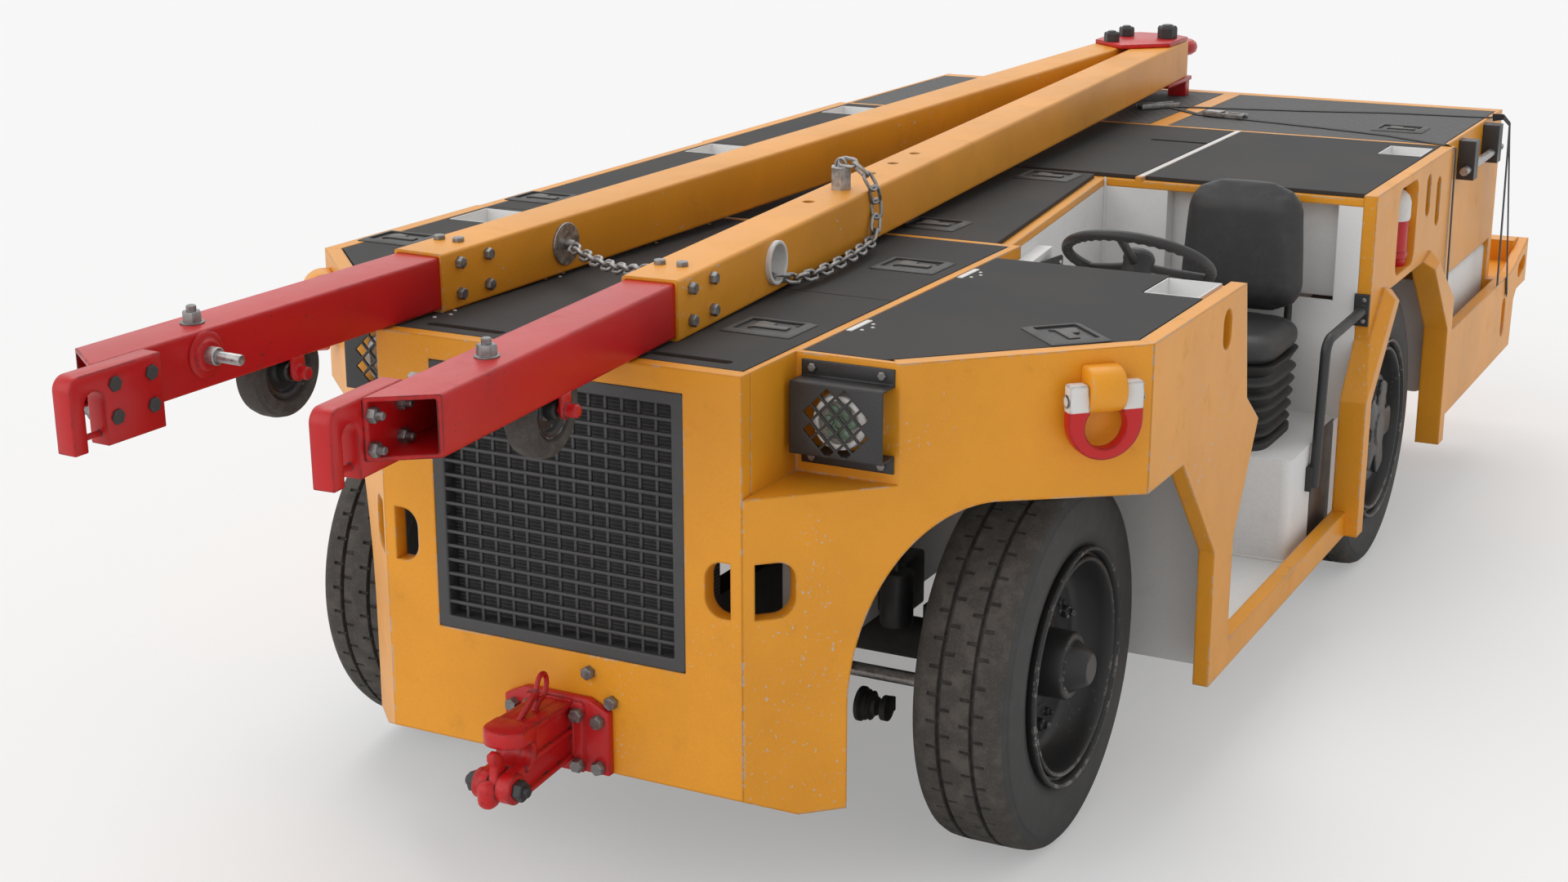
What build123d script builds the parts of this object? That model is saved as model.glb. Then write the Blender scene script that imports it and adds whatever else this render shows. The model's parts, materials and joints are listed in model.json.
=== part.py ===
from build123d import *
import math
import os

# Low four-wheel tow tractor with its tow bar stowed on the deck.
# Millimetres, +Z up, front towards -Y, driver's side +X.
# Stations along Y are measured rearward from the face of the nose plate.
# The finished pieces are moved so that the origin is under the middle of the box.

# Body levels and half widths
DECK_Z = 1197.0
NOSE_Z = 294.0
LOW_Z = 250.0
NOSE_HALF = 439.0
SIDE_HALF = 1066.0
FLARE_PROUD = 36.0
PLATE = 38.0
FENDER_Z = 873.0
SILL_TOP = 321.0

# Stations along the body
CAB_FRONT = 1282.0
CAB_REAR = 2521.0
CENTRE_END = 1441.0
REAR_DECK = 3512.0
TAIL_WALL = 4345.0
TAIL_PLATE_END = 4563.0
TAIL_END = 4786.0

# Front axle and steering
FRONT_AXLE_Y = 722.0
REAR_AXLE_Y = 2955.0
TYRE_R = 419.0
TYRE_WIDTH = 224.0
TYRE_SEAT_R = 248.0
FRONT_TYRE_X = 774.0
REAR_TYRE_X = 906.0
KINGPIN_X = 630.0
GROOVE_WIDTH = 9.0
GROOVE_DEPTH = 12.0
GROOVE_X = 38.0
SEAT_GAP = 0.3

# Nose grille and lifting slots
GRILLE_HALF = 306.0
GRILLE_Z = (552.0, 1147.0)
GRILLE_RIM = 28.0
GRILLE_COLUMNS = 14
GRILLE_ROWS = 17
GRILLE_BAR = 7.0
GRILLE_BAR_DEPTH = 8.0
SLOT_X = (353.0, 412.0)
SLOT_Z = (688.0, 807.0)
SLOT_ROUND = 40.0
SHOULDER_SLOT = (26.0, 113.0)

# Lamp recess and lamp guard
RECESS_X = 672.0
RECESS_Z = 945.0
RECESS_WALL = 16.0
LAMP_SIDE = 190.0
LAMP_DEPTH = 60.0
LAMP_X = 560.0
LAMP_Z = 1076.0
LAMP_BORE_R = 62.0
LAMP_FLANGE = 14.0

# Deck sheet and plates
DECK_SHEET = 20.0
DECK_PLATE = 12.0
DECK_GAP = 4.0
STRIP_LIP = 6.0
POCKET_DEPTH = 70.0
POCKET_WALL = 4.0
POCKET_SIZE = (130.0, 170.0)

# Cab tub
CAB_WALL = 30.0
CAB_FLOOR_Z = 275.0
CAB_INNER_FRONT_X = 408.0
CAB_INNER_REAR_X = 273.0
SEAT_X = 733.0
SEAT_BOX_X = (470.0, 1000.0)
SEAT_BOX_FRONT = 2029.0
SEAT_BOX_Z = 560.0
SEAT_BACK_RECESS = (466.0, 960.0)

# Steering wheel
WHEEL_CENTRE = (690.0, 1620.0, 1150.0)
WHEEL_TILT = 30.0
WHEEL_RIM_R = 195.0
WHEEL_GRIP_R = 13.0

# Rear wheel arch
ARCH_HALF = 490.0
ARCH_KNEE_Z = 630.0
ARCH_TOP_HALF = 205.0
ARCH_TOP_Z = 893.0
LEG_WIDTH = 65.0

# Tow bar
BAR_X = -165.0
BAR_START = 185.0
BAR_LENGTH = 4036.0
BAR_NEAR_HALF = 291.0
BAR_FAR_HALF = 67.0
BAR_RISE = 70.0
BAR_SIZE = 130.0
BAR_WALL = 7.2
TUBE_WALL = 8.0
TUBE_OUT_OUTER = 889.0
TUBE_OUT_INNER = 992.0
TUBE_IN = 300.0
JAW_THICK = 45.0
JAW_TIP = 1190.0
JAW_BACK = 885.0
JAW_HEIGHT = 112.0
TOW_WHEEL_R = 100.0
TOW_WHEEL_WIDTH = 64.0
TOW_WHEEL_OUT = 456.0
TOW_AXLE_DROP = 22.0
TOW_AXLE_R = 10.0

MITRE = PLATE * math.tan(math.radians(22.5))
STRIP_X = (NOSE_HALF - MITRE, NOSE_HALF + STRIP_LIP)
STRIP_WIDTH = STRIP_X[1] - STRIP_X[0]
SHOULDER_RUN = SIDE_HALF - NOSE_HALF
SHOULDER_LENGTH = SHOULDER_RUN * math.sqrt(2)
FLARE_HALF = SIDE_HALF + FLARE_PROUD
INNER_HALF = SIDE_HALF - PLATE
SHEET_TOP = DECK_Z - DECK_PLATE
SHEET_Z = SHEET_TOP - DECK_SHEET
RECESS_Y = RECESS_X - NOSE_HALF
AXLE_Z = TYRE_R

SHOULDER = Plane(origin=(NOSE_HALF, 0, 0), x_dir=(1, 1, 0), z_dir=(1, -1, 0))

# The left bar of the tow bar has its own plane: u along the bar, v up, w outwards
BAR_DIRECTION = Vector(BAR_FAR_HALF - BAR_NEAR_HALF, BAR_LENGTH, BAR_RISE).normalized()
BAR_OUTWARD = Vector(BAR_DIRECTION.Y, -BAR_DIRECTION.X, 0).normalized()
BAR = Plane(
    origin=(BAR_X + BAR_NEAR_HALF, BAR_START, DECK_Z),
    x_dir=BAR_DIRECTION,
    z_dir=BAR_OUTWARD,
)
TUBE_SIZE = BAR_SIZE - 2 * BAR_WALL - 2 * SEAT_GAP
TUBE_FLOOR = BAR_WALL + SEAT_GAP
JAW_BOTTOM = TUBE_FLOOR
FRONT_TIP = BAR.from_local_coords(
    Vector(-JAW_TIP, JAW_BOTTOM + JAW_HEIGHT, -TUBE_SIZE / 2 - JAW_THICK)
).Y
MID_STATION = (FRONT_TIP + TAIL_END) / 2


def block(x, y, z, mode=Mode.ADD):
    """A box between (low, high) limits along each axis."""
    with Locations(((x[0] + x[1]) / 2, (y[0] + y[1]) / 2, (z[0] + z[1]) / 2)):
        Box(x[1] - x[0], y[1] - y[0], z[1] - z[0], mode=mode)


def slab(plane, points, depth, mode=Mode.ADD):
    """An outline on a plane, extruded along the plane's normal."""
    with BuildSketch(plane) as outline:
        with BuildLine():
            Polyline(*points, close=True)
        make_face()
    extrude(outline.sketch, amount=depth, mode=mode)


def oval_cut(plane, centre, length, width, depth, turn=90):
    """A slot with round ends, cut along the plane's normal and both ways."""
    with BuildSketch(plane) as outline:
        with Locations(Location((centre[0], centre[1], 0), (0, 0, turn))):
            SlotOverall(length, width)
    extrude(outline.sketch, amount=depth, both=True, mode=Mode.SUBTRACT)


def d_slot_cut(plane, across, up, straight_at_low, depth):
    """A lifting slot: square on the side next to the corner, round on the other."""
    middle = ((across[0] + across[1]) / 2, (up[0] + up[1]) / 2)
    with BuildSketch(plane) as outline:
        with Locations(middle):
            Rectangle(across[1] - across[0], up[1] - up[0])
        ends = outline.vertices().group_by(Axis.X)
        round_end = ends[-1] if straight_at_low else ends[0]
        fillet(round_end, SLOT_ROUND)
    extrude(outline.sketch, amount=depth, both=True, mode=Mode.SUBTRACT)


def rod(start, end, radius, mode=Mode.ADD):
    """A round bar between two points."""
    axis = Vector(*end) - Vector(*start)
    with BuildSketch(Plane(origin=Vector(*start), z_dir=axis)) as outline:
        Circle(radius)
    extrude(outline.sketch, amount=axis.length, mode=mode)


def turned(points, y, z, mode=Mode.ADD):
    """A profile of (x, radius) points, revolved about a cross axis at (y, z)."""
    with BuildSketch(Plane.XZ.offset(-y)) as outline:
        with BuildLine():
            Polyline(*[(x, z + r) for x, r in points], close=True)
        make_face()
    revolve(outline.sketch, axis=Axis((0, y, z), (1, 0, 0)), mode=mode)


os.makedirs("parts", exist_ok=True)


def hand_in(builder, label):
    """Moves a finished piece to the shared origin, labels it and writes it."""
    piece = builder.part.moved(Location((0, -MID_STATION, 0)))
    piece.label = label
    export_step(piece, f"parts/{label}.step")


# Nose plate with the grille opening, lifting slots and mitred ends
with BuildPart() as front_plate:
    block((-NOSE_HALF, NOSE_HALF), (0, PLATE), (NOSE_Z, DECK_Z))
    for side in (1, -1):
        slab(
            Plane.XY.offset(NOSE_Z),
            [(side * NOSE_HALF, 0), (side * NOSE_HALF, PLATE), (side * (NOSE_HALF - MITRE), PLATE)],
            RECESS_Z - NOSE_Z,
            Mode.SUBTRACT,
        )
    block((-GRILLE_HALF, GRILLE_HALF), (0, PLATE), GRILLE_Z, Mode.SUBTRACT)
    d_slot_cut(Plane.XZ, SLOT_X, SLOT_Z, False, 2 * PLATE)
    d_slot_cut(Plane.XZ, (-SLOT_X[1], -SLOT_X[0]), SLOT_Z, True, 2 * PLATE)
hand_in(front_plate, "front_plate")


# Shoulder plates at 45 degrees, with the front wheel arch and the lamp recess welded in
ARCH_EDGE = 224.0
ARCH_SPRING_Z = 470.0
ARCH_CROWN = 543.0
ARCH_CROWN_Z = 890.0
CHIN = 119.0
with BuildPart() as shoulder_left:
    slab(
        Plane.XY.offset(LOW_Z),
        [
            (NOSE_HALF, 0),
            (SIDE_HALF, SHOULDER_RUN),
            (INNER_HALF, SHOULDER_RUN + MITRE),
            (NOSE_HALF - MITRE, PLATE),
        ],
        DECK_Z - LOW_Z,
    )
    with BuildSketch(SHOULDER) as arch:
        with BuildLine():
            foot = Line((ARCH_EDGE, LOW_Z), (ARCH_EDGE, ARCH_SPRING_Z))
            bow = EllipticalCenterArc(
                (ARCH_CROWN, ARCH_SPRING_Z),
                ARCH_CROWN - ARCH_EDGE,
                ARCH_CROWN_Z - ARCH_SPRING_Z,
                start_angle=90,
                arc_size=90,
            )
            Polyline(
                (ARCH_CROWN, ARCH_CROWN_Z),
                (SHOULDER_LENGTH, FENDER_Z),
                (SHOULDER_LENGTH + PLATE, FENDER_Z),
                (SHOULDER_LENGTH + PLATE, LOW_Z),
                (ARCH_EDGE, LOW_Z),
            )
        make_face()
    extrude(arch.sketch, amount=2 * PLATE, both=True, mode=Mode.SUBTRACT)
    slab(
        SHOULDER.offset(PLATE),
        [(-PLATE, LOW_Z), (-PLATE, NOSE_Z), (0, NOSE_Z), (CHIN, LOW_Z)],
        -3 * PLATE,
        Mode.SUBTRACT,
    )
    slab(
        SHOULDER.offset(PLATE),
        [
            (-PLATE, RECESS_Z),
            (RECESS_Y * math.sqrt(2), RECESS_Z),
            (RECESS_Y * math.sqrt(2), DECK_Z),
            (-PLATE, DECK_Z),
        ],
        -3 * PLATE,
        Mode.SUBTRACT,
    )
    d_slot_cut(SHOULDER, SHOULDER_SLOT, SLOT_Z, True, 2 * PLATE)
    inner = NOSE_HALF - MITRE
    back = RECESS_Y + RECESS_WALL
    slab(
        Plane.XY.offset(RECESS_Z - RECESS_WALL),
        [(inner, PLATE), (inner + back - PLATE, back), (inner, back)],
        RECESS_WALL,
    )
    slab(
        Plane.XY.offset(RECESS_Z),
        [
            (inner, PLATE),
            (NOSE_HALF, PLATE),
            (NOSE_HALF, RECESS_Y),
            (RECESS_X, RECESS_Y),
            (RECESS_X - RECESS_WALL, back),
            (inner, back),
        ],
        DECK_Z - RECESS_Z,
    )
with BuildPart() as shoulder_right:
    mirror(shoulder_left.part, about=Plane.YZ)
hand_in(shoulder_left, "shoulder_left")
hand_in(shoulder_right, "shoulder_right")


# Lamp guards: a box on the recess wall, flanged above and below, with a mesh bore
LAMP_PLANE = Plane.XZ.offset(-RECESS_Y)
MESH_PITCH = 26.0
MESH_BAR = 5.0
with BuildPart() as lamp_guards:
    half = LAMP_SIDE / 2
    block(
        (LAMP_X - half, LAMP_X + half),
        (RECESS_Y - LAMP_DEPTH, RECESS_Y),
        (LAMP_Z - half, LAMP_Z + half),
    )
    block(
        (LAMP_X - half - LAMP_FLANGE / 2, LAMP_X + half + LAMP_FLANGE / 2),
        (RECESS_Y - LAMP_DEPTH / 4, RECESS_Y),
        (LAMP_Z - half - LAMP_FLANGE, LAMP_Z + half + LAMP_FLANGE),
    )
    rod(
        (LAMP_X, RECESS_Y - LAMP_DEPTH, LAMP_Z),
        (LAMP_X, RECESS_Y - LAMP_DEPTH / 4, LAMP_Z),
        LAMP_BORE_R,
        Mode.SUBTRACT,
    )
    with BuildSketch(Plane.XZ.offset(-RECESS_Y + LAMP_DEPTH)) as mesh:
        for turn in (45, -45):
            with Locations(Location((LAMP_X, LAMP_Z, 0), (0, 0, turn))):
                with GridLocations(MESH_PITCH, 0, 5, 1):
                    Rectangle(MESH_BAR, 2 * LAMP_BORE_R + MESH_BAR)
        with Locations((LAMP_X, LAMP_Z)):
            Circle(LAMP_BORE_R + 1, mode=Mode.INTERSECT)
    extrude(mesh.sketch, amount=-MESH_BAR)
    mirror(about=Plane.YZ)
hand_in(lamp_guards, "lamp_guards")

LENS_DEPTH = 22.0
with BuildPart() as lamp_lenses:
    lens_back = RECESS_Y - LAMP_DEPTH / 4
    rod((LAMP_X, lens_back, LAMP_Z), (LAMP_X, lens_back - LENS_DEPTH, LAMP_Z), LAMP_BORE_R - 3)
    mirror(about=Plane.YZ)
hand_in(lamp_lenses, "lamp_lenses")


# Grille: a frame in the nose opening, upright bars in front of the cross bars
with BuildPart() as grille:
    block((-GRILLE_HALF, GRILLE_HALF), (0, PLATE), GRILLE_Z)
    inside = GRILLE_HALF - GRILLE_RIM
    low = GRILLE_Z[0] + GRILLE_RIM
    high = GRILLE_Z[1] - GRILLE_RIM
    block((-inside, inside), (0, PLATE), (low, high), Mode.SUBTRACT)
    column = 2 * inside / GRILLE_COLUMNS
    row = (high - low) / GRILLE_ROWS
    front = GRILLE_BAR_DEPTH / 2
    with GridLocations(column, 1, GRILLE_COLUMNS - 1, 1):
        with Locations((0, front + GRILLE_BAR_DEPTH / 2, (low + high) / 2)):
            Box(GRILLE_BAR, GRILLE_BAR_DEPTH, high - low)
    for i in range(1, GRILLE_ROWS):
        with Locations((0, front + 1.6 * GRILLE_BAR_DEPTH + 1, low + i * row)):
            Box(2 * inside, GRILLE_BAR_DEPTH, GRILLE_BAR)
hand_in(grille, "grille")

RADIATOR_DEPTH = 110.0
with BuildPart() as radiator_core:
    block((-GRILLE_HALF, GRILLE_HALF), (PLATE, PLATE + RADIATOR_DEPTH), GRILLE_Z)
hand_in(radiator_core, "radiator_core")


# Front fender side plate with the slanting door pillar
PILLAR_FRONT = 1143.0
PILLAR_REAR = [
    (CAB_FRONT, DECK_Z),
    (CAB_FRONT + 52, 912),
    (CAB_FRONT + 161, 835),
    (CAB_FRONT + 3, 583),
    (CAB_FRONT, LOW_Z),
]
FENDER_HOLE = (1144.0, 1117.0)
with BuildPart() as side_plate_left:
    slab(
        Plane.XY.offset(LOW_Z),
        [
            (SIDE_HALF, SHOULDER_RUN),
            (SIDE_HALF, CAB_FRONT + 161),
            (INNER_HALF, CAB_FRONT + 161),
            (INNER_HALF, SHOULDER_RUN + MITRE),
        ],
        DECK_Z - LOW_Z,
    )
    slab(
        Plane.YZ.offset(INNER_HALF - PLATE),
        [
            (SHOULDER_RUN - PLATE, FENDER_Z),
            (864, FENDER_Z),
            (PILLAR_FRONT - 7, 588),
            (PILLAR_FRONT, LOW_Z - 1),
            (SHOULDER_RUN - PLATE, LOW_Z - 1),
        ],
        4 * PLATE,
        Mode.SUBTRACT,
    )
    slab(
        Plane.YZ.offset(INNER_HALF - PLATE),
        PILLAR_REAR + [(CENTRE_END + PLATE, LOW_Z), (CENTRE_END + PLATE, DECK_Z)],
        4 * PLATE,
        Mode.SUBTRACT,
    )
    oval_cut(Plane.YZ.offset(SIDE_HALF), FENDER_HOLE, 94, 62, 2 * PLATE)
with BuildPart() as side_plate_right:
    mirror(side_plate_left.part, about=Plane.YZ)
hand_in(side_plate_right, "side_plate_right")

# Door sill on the driver's side, closed panel on the other side
FLARE_FRONT = REAR_AXLE_Y - ARCH_HALF - LEG_WIDTH
with BuildPart() as side_plate_left_with_sill:
    add(side_plate_left.part)
    block((INNER_HALF, SIDE_HALF), (CAB_FRONT - PLATE, FLARE_FRONT), (LOW_Z, SILL_TOP))
hand_in(side_plate_left_with_sill, "side_plate_left")

PANEL_INSET = 8.0
with BuildPart() as side_panel_right:
    slab(
        Plane.YZ.offset(-SIDE_HALF + PANEL_INSET),
        PILLAR_REAR + [(FLARE_FRONT, LOW_Z), (FLARE_FRONT, 640), (CAB_REAR, 790), (CAB_REAR, DECK_Z)],
        PLATE - PANEL_INSET,
    )
hand_in(side_panel_right, "side_panel_right")


# Rear fender: upper side plate and the two slanting legs of the wheel arch
FENDER_SLOT = (2796.0, 3031.0)
FENDER_SLOT_Z = (917.0, 1172.0)
LEG_TOP = (295.0, 915.0)
LEG_SHOULDER_Z = 790.0
LEG_KNEE_Z = 640.0
LEG_BEVEL = 30.0
KNEE_RUN = (ARCH_TOP_Z - ARCH_KNEE_Z) / (ARCH_HALF - ARCH_TOP_HALF)
with BuildPart() as rear_fender_left:
    slab(
        Plane.YZ.offset(INNER_HALF),
        [
            (CAB_REAR, DECK_Z),
            (REAR_DECK, DECK_Z),
            (REAR_DECK, ARCH_KNEE_Z),
            (REAR_AXLE_Y + ARCH_HALF, ARCH_KNEE_Z),
            (REAR_AXLE_Y + ARCH_TOP_HALF, ARCH_TOP_Z),
            (REAR_AXLE_Y - ARCH_TOP_HALF, ARCH_TOP_Z),
            (CAB_REAR, ARCH_KNEE_Z + (CAB_REAR - REAR_AXLE_Y + ARCH_HALF) * KNEE_RUN),
        ],
        PLATE,
    )
    front_leg = [
        (REAR_AXLE_Y - ARCH_HALF - LEG_WIDTH, LOW_Z),
        (REAR_AXLE_Y - ARCH_HALF, LOW_Z),
        (REAR_AXLE_Y - ARCH_HALF, ARCH_KNEE_Z),
        (REAR_AXLE_Y - ARCH_TOP_HALF, ARCH_TOP_Z),
        (REAR_AXLE_Y - LEG_TOP[0], LEG_TOP[1]),
        (CAB_REAR, LEG_SHOULDER_Z),
        (REAR_AXLE_Y - ARCH_HALF - LEG_WIDTH, LEG_KNEE_Z),
    ]
    rear_leg = [
        (REAR_DECK, LOW_Z),
        (REAR_AXLE_Y + ARCH_HALF, LOW_Z),
        (REAR_AXLE_Y + ARCH_HALF, ARCH_KNEE_Z),
        (REAR_AXLE_Y + ARCH_TOP_HALF, ARCH_TOP_Z),
        (REAR_AXLE_Y + LEG_TOP[0], LEG_TOP[1]),
        (REAR_DECK, LEG_SHOULDER_Z - PLATE),
    ]
    slab(Plane.YZ.offset(INNER_HALF), front_leg, FLARE_HALF - INNER_HALF)
    slab(Plane.YZ.offset(INNER_HALF), rear_leg, FLARE_HALF - INNER_HALF)
    outer_edges = edges().filter_by(lambda e: e.center().X > FLARE_HALF - 1)
    slopes = outer_edges.filter_by(lambda e: e.center().Z > LEG_SHOULDER_Z)
    arch_line = (LEG_TOP[1] + LEG_SHOULDER_Z) / 2 - PLATE
    chamfer(slopes.filter_by(lambda e: e.center().Z > arch_line), LEG_BEVEL)
    with BuildSketch(Plane.YZ.offset(SIDE_HALF)) as recess:
        with Locations(((FENDER_SLOT[0] + FENDER_SLOT[1]) / 2, sum(FENDER_SLOT_Z) / 2)):
            RectangleRounded(FENDER_SLOT[1] - FENDER_SLOT[0], FENDER_SLOT_Z[1] - FENDER_SLOT_Z[0], 40)
    extrude(recess.sketch, amount=2 * PLATE, both=True, mode=Mode.SUBTRACT)
    oval_cut(Plane.YZ.offset(SIDE_HALF), (3177, 1096), 128, 56, 2 * PLATE)
    oval_cut(Plane.YZ.offset(SIDE_HALF), (3320, 1056), 152, 56, 2 * PLATE)


# Rear quarter: lower plate on the flare plane, with a wing for the bumper
QUARTER_FRONT = REAR_DECK
QUARTER_Z = (335.0, 612.0)
WING_Z = (529.0, 685.0)
WING_FRONT = 4550.0
with BuildPart() as rear_side_left:
    add(rear_fender_left.part)
    slab(
        Plane.YZ.offset(SIDE_HALF),
        [
            (QUARTER_FRONT, QUARTER_Z[0]),
            (TAIL_PLATE_END, QUARTER_Z[0]),
            (TAIL_PLATE_END + 18, WING_Z[0] - 30),
            (TAIL_PLATE_END + 60, WING_Z[0]),
            (TAIL_END, WING_Z[0]),
            (TAIL_END, WING_Z[1]),
            (WING_FRONT, QUARTER_Z[1] + 10),
            (WING_FRONT - 60, QUARTER_Z[1]),
            (QUARTER_FRONT, QUARTER_Z[1]),
        ],
        FLARE_PROUD,
    )
    oval_cut(Plane.YZ.offset(SIDE_HALF), (4400, 470), 140, 60, 2 * PLATE)
    oval_cut(Plane.YZ.offset(SIDE_HALF), (4690, 600), 130, 56, 2 * PLATE, turn=12)
with BuildPart() as rear_side_right:
    mirror(rear_side_left.part, about=Plane.YZ)
hand_in(rear_side_left, "rear_side_left")
hand_in(rear_side_right, "rear_side_right")


# Rear side panels above the tanks, tanks, posts, tail wall and bumper beam
UPPER_PANEL_Z = 756.0
PANEL_X = 1040.0
PANEL_THICK = 12.0
TANK_X = 560.0
TANK_Z = 390.0
TANK_FRONT = QUARTER_FRONT + 30
with BuildPart() as side_tanks:
    block((TANK_X, PANEL_X - PANEL_THICK), (TANK_FRONT, TAIL_WALL), (TANK_Z, UPPER_PANEL_Z))
    fillet(edges().filter_by(Axis.Y), 40)
    mirror(about=Plane.YZ)
hand_in(side_tanks, "side_tanks")

POST_WIDTH = 55.0
BEAM_FRONT = 4700.0
with BuildPart() as tail_frame:
    block((-PANEL_X, PANEL_X), (TAIL_WALL, TAIL_WALL + POST_WIDTH), (QUARTER_Z[0], DECK_Z))
    block((-SIDE_HALF, SIDE_HALF), (BEAM_FRONT, TAIL_END), WING_Z)
    for side in (1, -1):
        inside = side * (SIDE_HALF - 2 * PLATE)
        limits = (min(inside, side * SIDE_HALF), max(inside, side * SIDE_HALF))
        panel = sorted((side * (PANEL_X - PANEL_THICK), side * PANEL_X))
        block(panel, (REAR_DECK, TAIL_WALL), (UPPER_PANEL_Z, DECK_Z))
        block(limits, (TAIL_WALL, TAIL_PLATE_END), (QUARTER_Z[0], QUARTER_Z[1]))
        block(limits, (TAIL_PLATE_END - PLATE, BEAM_FRONT), (WING_Z[0], QUARTER_Z[1]))
hand_in(tail_frame, "tail_frame")


# Deck: a yellow sheet with strips left standing between the plates
LINE_PER_Y = (CAB_INNER_REAR_X - CAB_INNER_FRONT_X) / (CAB_REAR - CENTRE_END)


def cab_line(y):
    """Half width of the deck beside the cab at a station."""
    return CAB_INNER_FRONT_X + (y - CENTRE_END) * LINE_PER_Y


FENDER_LINE = NOSE_HALF - MITRE - PLATE
FRONT_DECK_Y = RECESS_Y + RECESS_WALL
LID_INNER = STRIP_X[1] + DECK_GAP
LID_OUTER = INNER_HALF - DECK_GAP
LID_FRONT = FRONT_DECK_Y + DECK_GAP
LID_REAR = CAB_FRONT - DECK_GAP
LID_CORNER_Y = LID_OUTER - FENDER_LINE + 1.5 * DECK_GAP
POCKETS = [(1, CAB_FRONT), (1, REAR_DECK - 50), (-1, CAB_FRONT), (-1, CAB_REAR), (-1, REAR_DECK - 50)]


def pocket_limits(side, rear):
    """Limits of a corner pocket that ends at a station."""
    outer = LID_OUTER - 8
    x = (outer - POCKET_SIZE[0], outer) if side > 0 else (-outer, POCKET_SIZE[0] - outer)
    return x, (rear - 30 - POCKET_SIZE[1], rear - 30)


with BuildPart() as deck_frame:
    slab(
        Plane.XY.offset(SHEET_Z),
        [
            (-NOSE_HALF + MITRE, PLATE),
            (NOSE_HALF - MITRE, PLATE),
            (NOSE_HALF - MITRE, FRONT_DECK_Y),
            (FENDER_LINE + FRONT_DECK_Y, FRONT_DECK_Y),
            (INNER_HALF, INNER_HALF - FENDER_LINE),
            (INNER_HALF, CAB_FRONT),
            (STRIP_X[1], CAB_FRONT),
            (STRIP_X[1], CENTRE_END),
            (CAB_INNER_FRONT_X, CENTRE_END),
            (CAB_INNER_REAR_X, CAB_REAR),
            (INNER_HALF, CAB_REAR),
            (INNER_HALF, TAIL_WALL),
            (-INNER_HALF, TAIL_WALL),
            (-INNER_HALF, INNER_HALF - FENDER_LINE),
            (-FENDER_LINE - FRONT_DECK_Y, FRONT_DECK_Y),
            (-NOSE_HALF + MITRE, FRONT_DECK_Y),
        ],
        DECK_SHEET,
    )
    rise = (SHEET_TOP, DECK_Z)
    for side in (1, -1):
        strip = sorted((side * STRIP_X[0], side * STRIP_X[1]))
        block(strip, (FRONT_DECK_Y, CENTRE_END), rise)
    block((-STRIP_X[1], -STRIP_X[0]), (CENTRE_END, REAR_DECK), rise)
    block((-STRIP_X[0], STRIP_X[0]), (CENTRE_END - STRIP_WIDTH, CENTRE_END), rise)
    block((-INNER_HALF, INNER_HALF), (REAR_DECK - 12, REAR_DECK + 8), rise)
    block((70, 130), (REAR_DECK, TAIL_WALL), rise)
    block((366, 385), (CAB_REAR, REAR_DECK), rise)
    block((500, 860), (420, 1180), (SHEET_Z, SHEET_TOP), Mode.SUBTRACT)
    for side, rear in POCKETS:
        hole_x, hole_y = pocket_limits(side, rear)
        block(hole_x, hole_y, (SHEET_Z - 1, SHEET_TOP + 1), Mode.SUBTRACT)
hand_in(deck_frame, "deck_frame")

# Light grey pockets let into the outer corners of the deck
with BuildPart() as deck_pockets:
    for side, rear in POCKETS:
        tub_x, tub_y = pocket_limits(side, rear)
        block(tub_x, tub_y, (DECK_Z - POCKET_DEPTH, DECK_Z))
        block(
            (tub_x[0] + POCKET_WALL, tub_x[1] - POCKET_WALL),
            (tub_y[0] + POCKET_WALL, tub_y[1] - POCKET_WALL),
            (DECK_Z - POCKET_DEPTH + POCKET_WALL, DECK_Z),
            Mode.SUBTRACT,
        )
hand_in(deck_pockets, "deck_pockets")

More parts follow.
